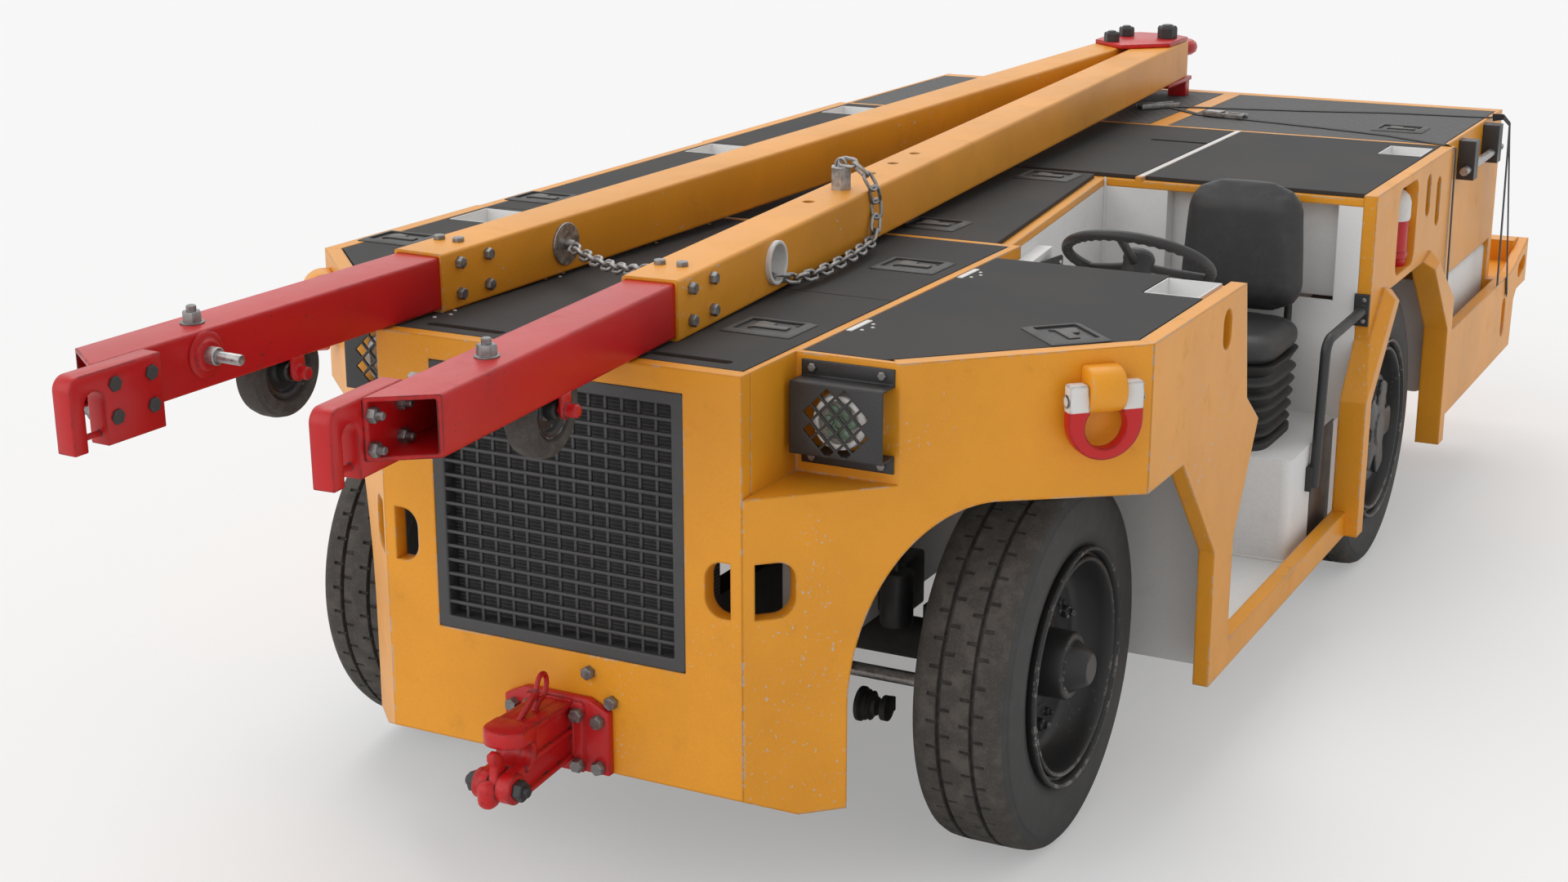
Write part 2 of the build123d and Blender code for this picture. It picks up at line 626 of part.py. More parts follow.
HAND_SLOT = (196.0, 26.0)
with BuildPart() as deck_plates:
    inner = STRIP_X[0] - DECK_GAP
    top = (SHEET_TOP, DECK_Z)
    middle = (PLATE + CENTRE_END) / 2
    block((-inner, inner), (PLATE + DECK_GAP, middle - DECK_GAP / 2), top)
    block((-inner, inner), (middle + DECK_GAP / 2, CENTRE_END - STRIP_WIDTH - DECK_GAP), top)
    slab(
        Plane.XY.offset(SHEET_TOP),
        [
            (-inner, CENTRE_END + DECK_GAP),
            (cab_line(CENTRE_END) - CAB_WALL, CENTRE_END + DECK_GAP),
            (cab_line(CAB_REAR) - CAB_WALL, CAB_REAR - DECK_GAP),
            (-inner, CAB_REAR - DECK_GAP),
        ],
        DECK_PLATE,
    )
    block((-inner, 366 - DECK_GAP), (CAB_REAR + CAB_WALL, REAR_DECK - 12 - DECK_GAP), top)
    block((385 + DECK_GAP, LID_OUTER), (CAB_REAR + CAB_WALL, REAR_DECK - 12 - DECK_GAP), top)
    slab(
        Plane.XY.offset(SHEET_TOP),
        [
            (-LID_INNER, LID_FRONT),
            (-FENDER_LINE - LID_FRONT + 2 * DECK_GAP, LID_FRONT),
            (-LID_OUTER, LID_CORNER_Y),
            (-LID_OUTER, CAB_FRONT - DECK_GAP),
            (-LID_INNER, CAB_FRONT - DECK_GAP),
        ],
        DECK_PLATE,
    )
    block((-LID_OUTER, -LID_INNER), (CAB_FRONT, CAB_REAR - DECK_GAP), top)
    block((-LID_OUTER, -LID_INNER), (CAB_REAR, REAR_DECK - 12 - DECK_GAP), top)
    block((130 + DECK_GAP, LID_OUTER), (REAR_DECK + 8 + DECK_GAP, TAIL_WALL - DECK_GAP), top)
    block((-LID_OUTER, 70 - DECK_GAP), (REAR_DECK + 8 + DECK_GAP, TAIL_WALL - DECK_GAP), top)
    for x, y in ((272, 90), (-272, 90), (276, 3209)):
        oval_cut(Plane.XY.offset(DECK_Z), (x, y), HAND_SLOT[0], HAND_SLOT[1], DECK_PLATE, turn=0)
    for side, rear in POCKETS:
        hole_x, hole_y = pocket_limits(side, rear)
        block(hole_x, hole_y, (SHEET_TOP - 1, DECK_Z + 1), Mode.SUBTRACT)
hand_in(deck_plates, "deck_plates")

# Lid of the front left locker, hinged along its inner edge
with BuildPart() as locker_lid:
    slab(
        Plane.XY.offset(SHEET_TOP + SEAT_GAP),
        [
            (LID_INNER, LID_FRONT),
            (FENDER_LINE + LID_FRONT - 2 * DECK_GAP, LID_FRONT),
            (LID_OUTER, LID_CORNER_Y),
            (LID_OUTER, LID_REAR),
            (LID_INNER, LID_REAR),
        ],
        DECK_PLATE - SEAT_GAP,
    )
    hole_x, hole_y = pocket_limits(*POCKETS[0])
    block(
        (hole_x[0] - DECK_GAP, LID_OUTER + 1),
        (hole_y[0] - DECK_GAP, LID_REAR + 1),
        (SHEET_TOP - 1, DECK_Z + 1),
        Mode.SUBTRACT,
    )
hand_in(locker_lid, "locker_lid")


# Wheel housings: locker floor over each front wheel and the inner side wall
HOUSING_INNER = 400.0
HOUSING_WALL = 18.0
HOUSING_FLOOR = 885.0
HOUSING_SKIRT = 470.0
with BuildPart() as wheel_housings:
    block(
        (HOUSING_INNER, INNER_HALF),
        (INNER_HALF - FENDER_LINE, CAB_FRONT),
        (HOUSING_FLOOR, HOUSING_FLOOR + HOUSING_WALL),
    )
    slab(
        Plane.XY.offset(HOUSING_FLOOR),
        [
            (HOUSING_INNER, FRONT_DECK_Y),
            (FENDER_LINE + FRONT_DECK_Y, FRONT_DECK_Y),
            (INNER_HALF, INNER_HALF - FENDER_LINE),
            (HOUSING_INNER, INNER_HALF - FENDER_LINE),
        ],
        HOUSING_WALL,
    )
    block((HOUSING_INNER, HOUSING_INNER + HOUSING_WALL), (FRONT_DECK_Y, CAB_FRONT), (HOUSING_SKIRT, SHEET_Z))
    mirror(about=Plane.YZ)
hand_in(wheel_housings, "wheel_housings")


# Cab tub: floor, front wall, slanting inner wall, rear wall with the seat recess
with BuildPart() as cab_floor:
    slab(
        Plane.XY.offset(CAB_FLOOR_Z - CAB_WALL),
        [
            (INNER_HALF, CAB_FRONT + CAB_WALL),
            (INNER_HALF, CAB_REAR),
            (cab_line(CAB_REAR), CAB_REAR),
            (cab_line(CENTRE_END), CENTRE_END),
            (cab_line(CENTRE_END), CAB_FRONT + CAB_WALL),
        ],
        CAB_WALL,
    )
hand_in(cab_floor, "cab_floor")

with BuildPart() as cab_front_wall:
    block(
        (CAB_INNER_FRONT_X, INNER_HALF),
        (CAB_FRONT, CAB_FRONT + CAB_WALL),
        (CAB_FLOOR_Z - CAB_WALL, SHEET_Z),
    )
hand_in(cab_front_wall, "cab_front_wall")

with BuildPart() as cab_inner_wall:
    slab(
        Plane.XY.offset(CAB_FLOOR_Z),
        [
            (cab_line(CENTRE_END) - CAB_WALL, CENTRE_END),
            (cab_line(CENTRE_END), CENTRE_END),
            (cab_line(CAB_REAR), CAB_REAR),
            (cab_line(CAB_REAR) - CAB_WALL, CAB_REAR),
        ],
        SHEET_Z - CAB_FLOOR_Z,
    )
    slab(
        Plane.XY.offset(CAB_FLOOR_Z),
        [
            (cab_line(CENTRE_END) - CAB_WALL, CAB_FRONT + CAB_WALL),
            (cab_line(CENTRE_END), CAB_FRONT + CAB_WALL),
            (cab_line(CENTRE_END), CENTRE_END),
            (cab_line(CENTRE_END) - CAB_WALL, CENTRE_END),
        ],
        SHEET_Z - CAB_FLOOR_Z,
    )
hand_in(cab_inner_wall, "cab_inner_wall")

RECESS_DEPTH = 60.0
with BuildPart() as cab_rear_wall:
    block(
        (CAB_INNER_REAR_X - CAB_WALL, INNER_HALF),
        (CAB_REAR, CAB_REAR + CAB_WALL + RECESS_DEPTH),
        (ARCH_TOP_Z, SHEET_Z),
    )
    block(
        SEAT_BACK_RECESS,
        (CAB_REAR, CAB_REAR + RECESS_DEPTH),
        (ARCH_TOP_Z, SHEET_Z),
        Mode.SUBTRACT,
    )
    block((CAB_INNER_REAR_X - CAB_WALL, INNER_HALF), (CAB_REAR, CAB_REAR + CAB_WALL / 2), (CAB_FLOOR_Z, ARCH_TOP_Z))
hand_in(cab_rear_wall, "cab_rear_wall")

with BuildPart() as seat_box:
    block(SEAT_BOX_X, (SEAT_BOX_FRONT, CAB_REAR), (CAB_FLOOR_Z, SEAT_BOX_Z))
    fillet(edges().filter_by(Axis.Z).sort_by(Axis.Y)[:2], 25)
hand_in(seat_box, "seat_box")

# Seat: bellows with the frame of the back, cushion and back, each a plain closed solid
BELLOWS_Z = 790.0
CUSHION_Z = 870.0
CUSHION_Y = 2240.0
BACK_Y = 2350.0
BACK_THICK = 95.0
BACK_TOP = 1251.0
BACK_HALF = 184.0
FRAME_THICK = 30.0
with BuildPart() as seat_suspension:
    with BuildSketch(Plane.XY.offset(SEAT_BOX_Z)) as base:
        with Locations((SEAT_X, CUSHION_Y - 15)):
            RectangleRounded(350, 320, 50)
    extrude(base.sketch, amount=BELLOWS_Z - SEAT_BOX_Z)
    frame_x = (SEAT_X - 150, SEAT_X + 150)
    frame_y = BACK_Y + BACK_THICK
    block(frame_x, (CUSHION_Y, frame_y + FRAME_THICK), (BELLOWS_Z - FRAME_THICK, BELLOWS_Z))
    block(frame_x, (frame_y, frame_y + FRAME_THICK), (BELLOWS_Z, CUSHION_Z + 150))
hand_in(seat_suspension, "seat_suspension")

with BuildPart() as seat_cushion:
    with BuildSketch(Plane.XY.offset(BELLOWS_Z)) as base:
        with Locations((SEAT_X, CUSHION_Y)):
            RectangleRounded(390, 380, 70)
    extrude(base.sketch, amount=CUSHION_Z - BELLOWS_Z)
    fillet(faces().sort_by(Axis.Z)[-1].edges(), 30)
hand_in(seat_cushion, "seat_cushion")

with BuildPart() as seat_back:
    with BuildSketch(Plane.XZ.offset(-BACK_Y)) as outline:
        with BuildLine():
            Polyline(
                (SEAT_X - BACK_HALF, CUSHION_Z + SEAT_GAP),
                (SEAT_X + BACK_HALF, CUSHION_Z + SEAT_GAP),
                (SEAT_X + BACK_HALF, BACK_TOP - 170),
                (SEAT_X + BACK_HALF - 54, BACK_TOP),
                (SEAT_X - BACK_HALF + 54, BACK_TOP),
                (SEAT_X - BACK_HALF, BACK_TOP - 170),
                close=True,
            )
        make_face()
        fillet(outline.vertices(), 40)
    extrude(outline.sketch, amount=-BACK_THICK)
    fillet(faces().sort_by(Axis.Y)[0].edges(), 25)
hand_in(seat_back, "seat_back")


# Instrument panel on the inner wall
with BuildPart() as instrument_panel:
    panel_y = (1500.0, 1760.0)
    slab(
        Plane.XY.offset(905),
        [
            (cab_line(panel_y[0]), panel_y[0]),
            (cab_line(panel_y[0]) + 40, panel_y[0]),
            (cab_line(panel_y[1]) + 40, panel_y[1]),
            (cab_line(panel_y[1]), panel_y[1]),
        ],
        230,
    )
hand_in(instrument_panel, "instrument_panel")


# Steering column and steering wheel, tilted towards the driver
WHEEL_NORMAL = Vector(0, math.sin(math.radians(WHEEL_TILT)), math.cos(math.radians(WHEEL_TILT)))
COLUMN_TOP = Vector(*WHEEL_CENTRE) - WHEEL_NORMAL * 60
COLUMN_RUN = (COLUMN_TOP.Y - CAB_FRONT - CAB_WALL) / WHEEL_NORMAL.Y
COLUMN_FOOT = COLUMN_TOP - WHEEL_NORMAL * COLUMN_RUN
with BuildPart() as steering_column:
    rod(tuple(COLUMN_FOOT), tuple(COLUMN_TOP), 28)
    block(
        (COLUMN_FOOT.X - 60, COLUMN_FOOT.X + 60),
        (CAB_FRONT + CAB_WALL - 60, CAB_FRONT + CAB_WALL),
        (COLUMN_FOOT.Z - 80, COLUMN_FOOT.Z + 80),
        Mode.SUBTRACT,
    )
    block(
        (COLUMN_FOOT.X - 60, COLUMN_FOOT.X + 60),
        (CAB_FRONT + CAB_WALL, CAB_FRONT + CAB_WALL + 14),
        (COLUMN_FOOT.Z - 60, COLUMN_FOOT.Z + 90),
    )
hand_in(steering_column, "steering_column")

WHEEL_PLANE = Plane(origin=WHEEL_CENTRE, x_dir=(1, 0, 0), z_dir=WHEEL_NORMAL)
with BuildPart() as steering_wheel:
    with BuildSketch(Plane(origin=WHEEL_CENTRE, x_dir=(1, 0, 0), z_dir=WHEEL_PLANE.y_dir * -1)) as grip:
        with Locations((WHEEL_RIM_R - WHEEL_GRIP_R, 0)):
            RegularPolygon(WHEEL_GRIP_R, 8)
    revolve(grip.sketch, axis=Axis(WHEEL_CENTRE, tuple(WHEEL_NORMAL)))
    with BuildSketch(WHEEL_PLANE.offset(-45)) as hub:
        Circle(38)
    extrude(hub.sketch, amount=45 + 8)
    with BuildSketch(WHEEL_PLANE.offset(-8)) as spokes:
        with PolarLocations((WHEEL_RIM_R - WHEEL_GRIP_R) / 2, 3, start_angle=90):
            Rectangle(WHEEL_RIM_R - WHEEL_GRIP_R, 26)
    extrude(spokes.sketch, amount=10)
    with BuildSketch(WHEEL_PLANE.offset(-59.7)) as stub:
        Circle(20)
    extrude(stub.sketch, amount=20)
hand_in(steering_wheel, "steering_wheel")


# Grab rail beside the seat, bent from round bar, with a foot on the seat box
GRAB_R = 14.0
GRAB_TOP = (1047.0, CAB_REAR, 877.0)
GRAB_X = SEAT_BOX_X[1] + GRAB_R + 4
GRAB_Y = 2212.0
GRAB_FOOT_Z = 440.0
with BuildPart() as grab_rail:
    with BuildLine() as grab_path:
        FilletPolyline(
            GRAB_TOP,
            (GRAB_X, GRAB_Y + 40, 842),
            (GRAB_X, GRAB_Y, GRAB_FOOT_Z),
            radius=45,
        )
    with BuildSketch(Plane(origin=GRAB_TOP, z_dir=grab_path.wires()[0] % 0)) as section:
        Circle(GRAB_R)
    sweep(section.sketch, path=grab_path.wires()[0])
    block(
        (SEAT_BOX_X[1], GRAB_X),
        (GRAB_Y - 24, GRAB_Y + 28),
        (GRAB_FOOT_Z - 8, GRAB_FOOT_Z + 60),
    )
    block((GRAB_TOP[0] - 24, GRAB_TOP[0] + 18), (CAB_REAR - 10, CAB_REAR), (GRAB_TOP[2] - 45, GRAB_TOP[2] + 45))
    block(
        (GRAB_TOP[0] - 60, GRAB_TOP[0] + 60),
        (CAB_REAR, CAB_REAR + 2 * GRAB_R),
        (GRAB_TOP[2] - 60, GRAB_TOP[2] + 60),
        Mode.SUBTRACT,
    )
hand_in(grab_rail, "grab_rail")


# Frame under the body: two rails, cross members, engine block and axles
RAIL_X = 230.0
RAIL_WIDTH = 60.0
RAIL_Z = (470.0, 620.0)
with BuildPart() as frame_rails:
    for side in (1, -1):
        block(
            sorted((side * RAIL_X, side * (RAIL_X - RAIL_WIDTH))),
            (PLATE + RADIATOR_DEPTH, TAIL_WALL),
            RAIL_Z,
        )
    inside = RAIL_X - RAIL_WIDTH
    for y in (PLATE + RADIATOR_DEPTH, CENTRE_END + 200, REAR_DECK + 200):
        block((-inside, inside), (y, y + 80), RAIL_Z)
hand_in(frame_rails, "frame_rails")

ENGINE_HALF = 270.0
ENGINE_FRONT = 560.0
with BuildPart() as engine_block:
    block((-ENGINE_HALF, ENGINE_HALF), (ENGINE_FRONT, CENTRE_END), (RAIL_Z[1], SHEET_Z - 60))
hand_in(engine_block, "engine_block")

AXLE_R = 48.0
REAR_TUBE_R = 50.0
PIN_R = 26.0
PIN_HALF = 120.0
FORK_HALF = 70.0
with BuildPart() as front_axle:
    rod((-KINGPIN_X + 80, FRONT_AXLE_Y, AXLE_Z), (KINGPIN_X - 80, FRONT_AXLE_Y, AXLE_Z), AXLE_R)
    for side in (1, -1):
        rod(
            (side * KINGPIN_X, FRONT_AXLE_Y, AXLE_Z - PIN_HALF),
            (side * KINGPIN_X, FRONT_AXLE_Y, AXLE_Z + PIN_HALF),
            PIN_R,
        )
        fork = sorted((side * (KINGPIN_X - 95), side * (KINGPIN_X + 25)))
        back = sorted((side * (KINGPIN_X - 95), side * (KINGPIN_X - 75)))
        for way in (1, -1):
            ends = sorted((AXLE_Z + way * FORK_HALF, AXLE_Z + way * (FORK_HALF + 30)))
            block(fork, (FRONT_AXLE_Y - 45, FRONT_AXLE_Y + 45), ends)
        block(back, (FRONT_AXLE_Y - 45, FRONT_AXLE_Y + 45), (AXLE_Z - FORK_HALF - 30, AXLE_Z + FORK_HALF + 30))
        seat = sorted((side * RAIL_X, side * (RAIL_X - RAIL_WIDTH)))
        block(seat, (FRONT_AXLE_Y - 60, FRONT_AXLE_Y + 60), (AXLE_Z, RAIL_Z[0]))
hand_in(front_axle, "front_axle")

# Steering knuckles: boss on the kingpin, stub shaft into the hub
HUB_INNER_X = 750.0
ARM_Y = FRONT_AXLE_Y - 150.0
ARM_WIDTH = 50.0
ARM_THICK = 30.0
TIE_PIN_R = 12.0
TIE_ROD_R = 16.0
TIE_EYE = 44.0
with BuildPart() as knuckle_left:
    boss_half = FORK_HALF - 5
    rod(
        (KINGPIN_X, FRONT_AXLE_Y, AXLE_Z - boss_half),
        (KINGPIN_X, FRONT_AXLE_Y, AXLE_Z + boss_half),
        46,
    )
    rod((KINGPIN_X, FRONT_AXLE_Y, AXLE_Z), (HUB_INNER_X + 60, FRONT_AXLE_Y, AXLE_Z), 34)
    block(
        (KINGPIN_X - ARM_WIDTH / 2, KINGPIN_X + ARM_WIDTH / 2),
        (ARM_Y - ARM_WIDTH / 2, FRONT_AXLE_Y),
        (AXLE_Z - ARM_THICK / 2, AXLE_Z + ARM_THICK / 2),
    )
    rod(
        (KINGPIN_X, FRONT_AXLE_Y, AXLE_Z - PIN_HALF),
        (KINGPIN_X, FRONT_AXLE_Y, AXLE_Z + PIN_HALF),
        PIN_R + SEAT_GAP,
        Mode.SUBTRACT,
    )
    rod(
        (KINGPIN_X, ARM_Y, AXLE_Z - 2 * ARM_THICK),
        (KINGPIN_X, ARM_Y, AXLE_Z + ARM_THICK),
        TIE_PIN_R + SEAT_GAP,
        Mode.SUBTRACT,
    )
with BuildPart() as knuckle_right:
    mirror(knuckle_left.part, about=Plane.YZ)
hand_in(knuckle_left, "knuckle_left")
hand_in(knuckle_right, "knuckle_right")

# Tie rod under the two steering arms, ahead of the axle
with BuildPart() as tie_rod:
    rod_z = AXLE_Z - ARM_THICK / 2 - SEAT_GAP - TIE_EYE / 2
    rod((-KINGPIN_X, ARM_Y, rod_z), (KINGPIN_X, ARM_Y, rod_z), TIE_ROD_R)
    for side in (1, -1):
        rod(
            (side * KINGPIN_X, ARM_Y, rod_z - TIE_EYE / 2),
            (side * KINGPIN_X, ARM_Y, rod_z + TIE_EYE / 2),
            ARM_WIDTH / 2,
        )
        rod(
            (side * KINGPIN_X, ARM_Y, rod_z),
            (side * KINGPIN_X, ARM_Y, AXLE_Z + ARM_THICK / 2 + 8),
            TIE_PIN_R,
        )
hand_in(tie_rod, "tie_rod")

REAR_HUB_X = 860.0
with BuildPart() as rear_axle:
    rod((-REAR_HUB_X, REAR_AXLE_Y, AXLE_Z), (REAR_HUB_X, REAR_AXLE_Y, AXLE_Z), REAR_TUBE_R)
    with Locations((0, REAR_AXLE_Y, AXLE_Z)):
        Sphere(165)
    for side in (1, -1):
        seat = sorted((side * RAIL_X, side * (RAIL_X - RAIL_WIDTH)))
        block(seat, (REAR_AXLE_Y - 60, REAR_AXLE_Y + 60), (AXLE_Z, RAIL_Z[0]))
hand_in(rear_axle, "rear_axle")


# Tyres: bulged sidewalls, rounded shoulders and two grooves round the tread
def tyre_profile(x):
    """Half section of a tyre as (x, radius) points."""
    half = TYRE_WIDTH / 2
    groove = GROOVE_WIDTH / 2
    floor = TYRE_R - GROOVE_DEPTH
    seat = TYRE_SEAT_R + SEAT_GAP
    left = [
        (x - half * 0.78, seat),
        (x - half * 0.96, seat + 45),
        (x - half, seat + 85),
        (x - half * 0.97, TYRE_R - 38),
        (x - half * 0.88, TYRE_R - 9),
        (x - half * 0.72, TYRE_R - 2),
        (x - GROOVE_X - groove, TYRE_R),
        (x - GROOVE_X - groove, floor),
        (x - GROOVE_X + groove, floor),
        (x - GROOVE_X + groove, TYRE_R),
    ]
    right = [(2 * x - px, r) for px, r in reversed(left)]
    return left + right


# Front disc wheel: rim flanges, dished disc, hub and conical cap
def front_wheel_profile(x):
    """Half section of a front wheel as (x, radius) points, outer face towards +X."""
    half = TYRE_WIDTH / 2
    bore = 34 + SEAT_GAP
    return [
        (HUB_INNER_X, bore),
        (HUB_INNER_X, 90),
        (x + 10, 90),
        (x + 10, 215),
        (x - half + 20, 232),
        (x - half - 2, 262),
        (x - half - 2, 270),
        (x - half * 0.84, 262),
        (x - half * 0.84, TYRE_SEAT_R),
        (x + half * 0.84, TYRE_SEAT_R),
        (x + half * 0.84, 262),
        (x + half + 10, 273),
        (x + half + 14, 266),
        (x + half - 14, 236),
        (x + 40, 218),
        (x + 26, 205),
        (x + 26, 96),
        (x + 62, 92),
        (x + 66, 66),
        (x + 110, 62),
        (x + 124, 52),
        (x + half + 38, 36),
        (x + half + 38, 0),
        (HUB_INNER_X + 60 + SEAT_GAP, 0),
        (HUB_INNER_X + 60 + SEAT_GAP, bore),
    ]


def rear_wheel_profile(x):
    """Half section of a rear wheel as (x, radius) points, outer face towards +X."""
    half = TYRE_WIDTH / 2
    bore = REAR_TUBE_R + SEAT_GAP
    return [
        (REAR_HUB_X - 90, bore),
        (REAR_HUB_X - 90, 120),
        (x + 4, 120),
        (x + 4, 215),
        (x - half + 20, 232),
        (x - half - 2, 262),
        (x - half - 2, 270),
        (x - half * 0.84, 262),
        (x - half * 0.84, TYRE_SEAT_R),
        (x + half * 0.84, TYRE_SEAT_R),
        (x + half * 0.84, 262),
        (x + half + 8, 273),
        (x + half + 12, 266),
        (x + half - 14, 236),
        (x + 40, 220),
        (x + 24, 205),
        (x + 24, 178),
        (x + 86, 172),
        (x + 100, 158),
        (x + 104, 60),
        (x + 118, 52),
        (x + 118, 0),
        (REAR_HUB_X + SEAT_GAP, 0),
        (REAR_HUB_X + SEAT_GAP, bore),
    ]


WHEELS = [
    ("front", FRONT_TYRE_X, FRONT_AXLE_Y, front_wheel_profile),
    ("rear", REAR_TYRE_X, REAR_AXLE_Y, rear_wheel_profile),
]
for place, wheel_x, wheel_y, wheel_profile in WHEELS:
    with BuildPart() as tyre_left:
        turned(tyre_profile(wheel_x), wheel_y, AXLE_Z)
    with BuildPart() as tyre_right:
        mirror(tyre_left.part, about=Plane.YZ)
    with BuildPart() as wheel_left:
        turned(wheel_profile(wheel_x), wheel_y, AXLE_Z)
    with BuildPart() as wheel_right:
        mirror(wheel_left.part, about=Plane.YZ)
    hand_in(tyre_left, f"tyre_{place}_left")
    hand_in(tyre_right, f"tyre_{place}_right")
    hand_in(wheel_left, f"wheel_{place}_left")
    hand_in(wheel_right, f"wheel_{place}_right")


# Tie-down lugs on the shoulders, each with a bow shackle
LUG_S = 761.0
LUG_WIDTH = 92.0
LUG_Z = (1070.0, 1167.0)
LUG_OUT = 62.0
SHACKLE_BAR = 15.0
SHACKLE_HALF = 68.0
SHACKLE_DROP = 88.0
SHACKLE_PIN_R = 12.0
PIN_Z = 1100.0
PIN_OUT = 34.0
with BuildPart() as tie_down_lugs:
    with BuildSketch(SHOULDER) as base:
        with Locations((LUG_S, sum(LUG_Z) / 2)):
            RectangleRounded(LUG_WIDTH, LUG_Z[1] - LUG_Z[0], 20)
    extrude(base.sketch, amount=LUG_OUT)
    rod(
        SHOULDER.from_local_coords(Vector(LUG_S - LUG_WIDTH, PIN_Z, PIN_OUT)),
        SHOULDER.from_local_coords(Vector(LUG_S + LUG_WIDTH, PIN_Z, PIN_OUT)),
        SHACKLE_PIN_R + SEAT_GAP,
        Mode.SUBTRACT,
    )
    mirror(about=Plane.YZ)
hand_in(tie_down_lugs, "tie_down_lugs")

with BuildPart() as shackles:
    with BuildLine() as bow_path:
        Polyline(
            SHOULDER.from_local_coords(Vector(LUG_S - SHACKLE_HALF, PIN_Z + 20, PIN_OUT)),
            SHOULDER.from_local_coords(Vector(LUG_S - SHACKLE_HALF, PIN_Z - 40, PIN_OUT)),
        )
        ThreePointArc(
            SHOULDER.from_local_coords(Vector(LUG_S - SHACKLE_HALF, PIN_Z - 40, PIN_OUT)),
            SHOULDER.from_local_coords(Vector(LUG_S, PIN_Z - 40 - SHACKLE_DROP, PIN_OUT)),
            SHOULDER.from_local_coords(Vector(LUG_S + SHACKLE_HALF, PIN_Z - 40, PIN_OUT)),
        )
        Polyline(
            SHOULDER.from_local_coords(Vector(LUG_S + SHACKLE_HALF, PIN_Z - 40, PIN_OUT)),
            SHOULDER.from_local_coords(Vector(LUG_S + SHACKLE_HALF, PIN_Z + 20, PIN_OUT)),
        )
    start = SHOULDER.from_local_coords(Vector(LUG_S - SHACKLE_HALF, PIN_Z + 20, PIN_OUT))
    with BuildSketch(Plane(origin=start, x_dir=SHOULDER.x_dir, z_dir=(0, 0, -1))) as section:
        RegularPolygon(SHACKLE_BAR, 8)
    sweep(section.sketch, path=bow_path.wires()[0])
    rod(
        SHOULDER.from_local_coords(Vector(LUG_S - SHACKLE_HALF - 30, PIN_Z, PIN_OUT)),
        SHOULDER.from_local_coords(Vector(LUG_S + SHACKLE_HALF + 30, PIN_Z, PIN_OUT)),
        SHACKLE_PIN_R,
    )
    mirror(about=Plane.YZ)
hand_in(shackles, "shackles")


# Front hitch: bolted mount, upper jaw and hooked lower jaw, lock pin with a ring
MOUNT_HALF = 126.0
MOUNT_Z = 437.0
MOUNT_THICK = 20.0
JAW_Y = -125.0
HITCH_TIP = -235.0
HITCH_TOP = 425.0
UPPER_JAW_Z = 392.0
LOWER_JAW_Z = 345.0
HITCH_LOW = 300.0
LOCK_Y = -170.0
RING_R = 26.0
RING_BAR = 5.0
with BuildPart() as hitch_body:
    slab(
        Plane.XZ,
        [
            (-MOUNT_HALF, NOSE_Z),
            (MOUNT_HALF, NOSE_Z),
            (MOUNT_HALF, MOUNT_Z - 40),
            (MOUNT_HALF - 40, MOUNT_Z),
            (40 - MOUNT_HALF, MOUNT_Z),
            (-MOUNT_HALF, MOUNT_Z - 40),
        ],
        MOUNT_THICK,
    )
    block((-50, 50), (JAW_Y, -MOUNT_THICK), (HITCH_LOW + 25, HITCH_TOP))
    with BuildSketch(Plane.XY.offset(UPPER_JAW_Z)) as jaw:
        with Locations((0, (JAW_Y + HITCH_TIP) / 2)):
            Rectangle(90, JAW_Y - HITCH_TIP)
        fillet(jaw.vertices().group_by(Axis.Y)[0], 40)
    extrude(jaw.sketch, amount=HITCH_TOP - UPPER_JAW_Z)
    slab(
        Plane.YZ.offset(-38),
        [
            (JAW_Y, HITCH_LOW + 25),
            (JAW_Y - 25, HITCH_LOW),
            (HITCH_TIP, HITCH_LOW),
            (HITCH_TIP - 15, HITCH_LOW + 25),
            (HITCH_TIP - 15, LOWER_JAW_Z + 27),
            (HITCH_TIP + 20, LOWER_JAW_Z + 27),
            (HITCH_TIP + 30, LOWER_JAW_Z),
            (JAW_Y, LOWER_JAW_Z),
        ],
        76,
    )
hand_in(hitch_body, "hitch_body")

with BuildPart() as hitch_pin:
    ring_z = HITCH_TOP + 24 + RING_R
    rod((0, LOCK_Y, HITCH_TOP), (0, LOCK_Y, HITCH_TOP + 28), 16)
    with BuildSketch(Plane(origin=(0, LOCK_Y, ring_z), x_dir=(0, 0, 1), z_dir=(0, 1, 0))) as wire:
        with Locations((RING_R, 0)):
            RegularPolygon(RING_BAR, 6)
    revolve(wire.sketch, axis=Axis((0, LOCK_Y, ring_z), (1, 0, 0)))
hand_in(hitch_pin, "hitch_pin")


# Tow bar: two square bars that meet at the rear, with sliding front tubes
def bar_slab(points, low, high, mode=Mode.ADD):
    """An outline of (u, v) points on the left bar's plane, between two widths."""
    slab(BAR.offset(low), points, high - low, mode)


def bar_box(u, v, w, mode=Mode.ADD):
    """A box in the left bar's own directions."""
    bar_slab([(u[0], v[0]), (u[1], v[0]), (u[1], v[1]), (u[0], v[1])], w[0], w[1], mode)


BAR_HALF = BAR_SIZE / 2
TUBE_HALF = TUBE_SIZE / 2
BAR_MIRROR = Plane.YZ.offset(BAR_X)
with BuildPart() as tow_bars:
    bar_box((0, BAR_LENGTH), (0, BAR_SIZE), (-BAR_HALF, BAR_HALF))
    bore = BAR_SIZE - BAR_WALL
    bar_box((-1, BAR_LENGTH), (BAR_WALL, bore), (BAR_WALL - BAR_HALF, BAR_HALF - BAR_WALL), Mode.SUBTRACT)
    mirror(about=BAR_MIRROR)
hand_in(tow_bars, "tow_bars")

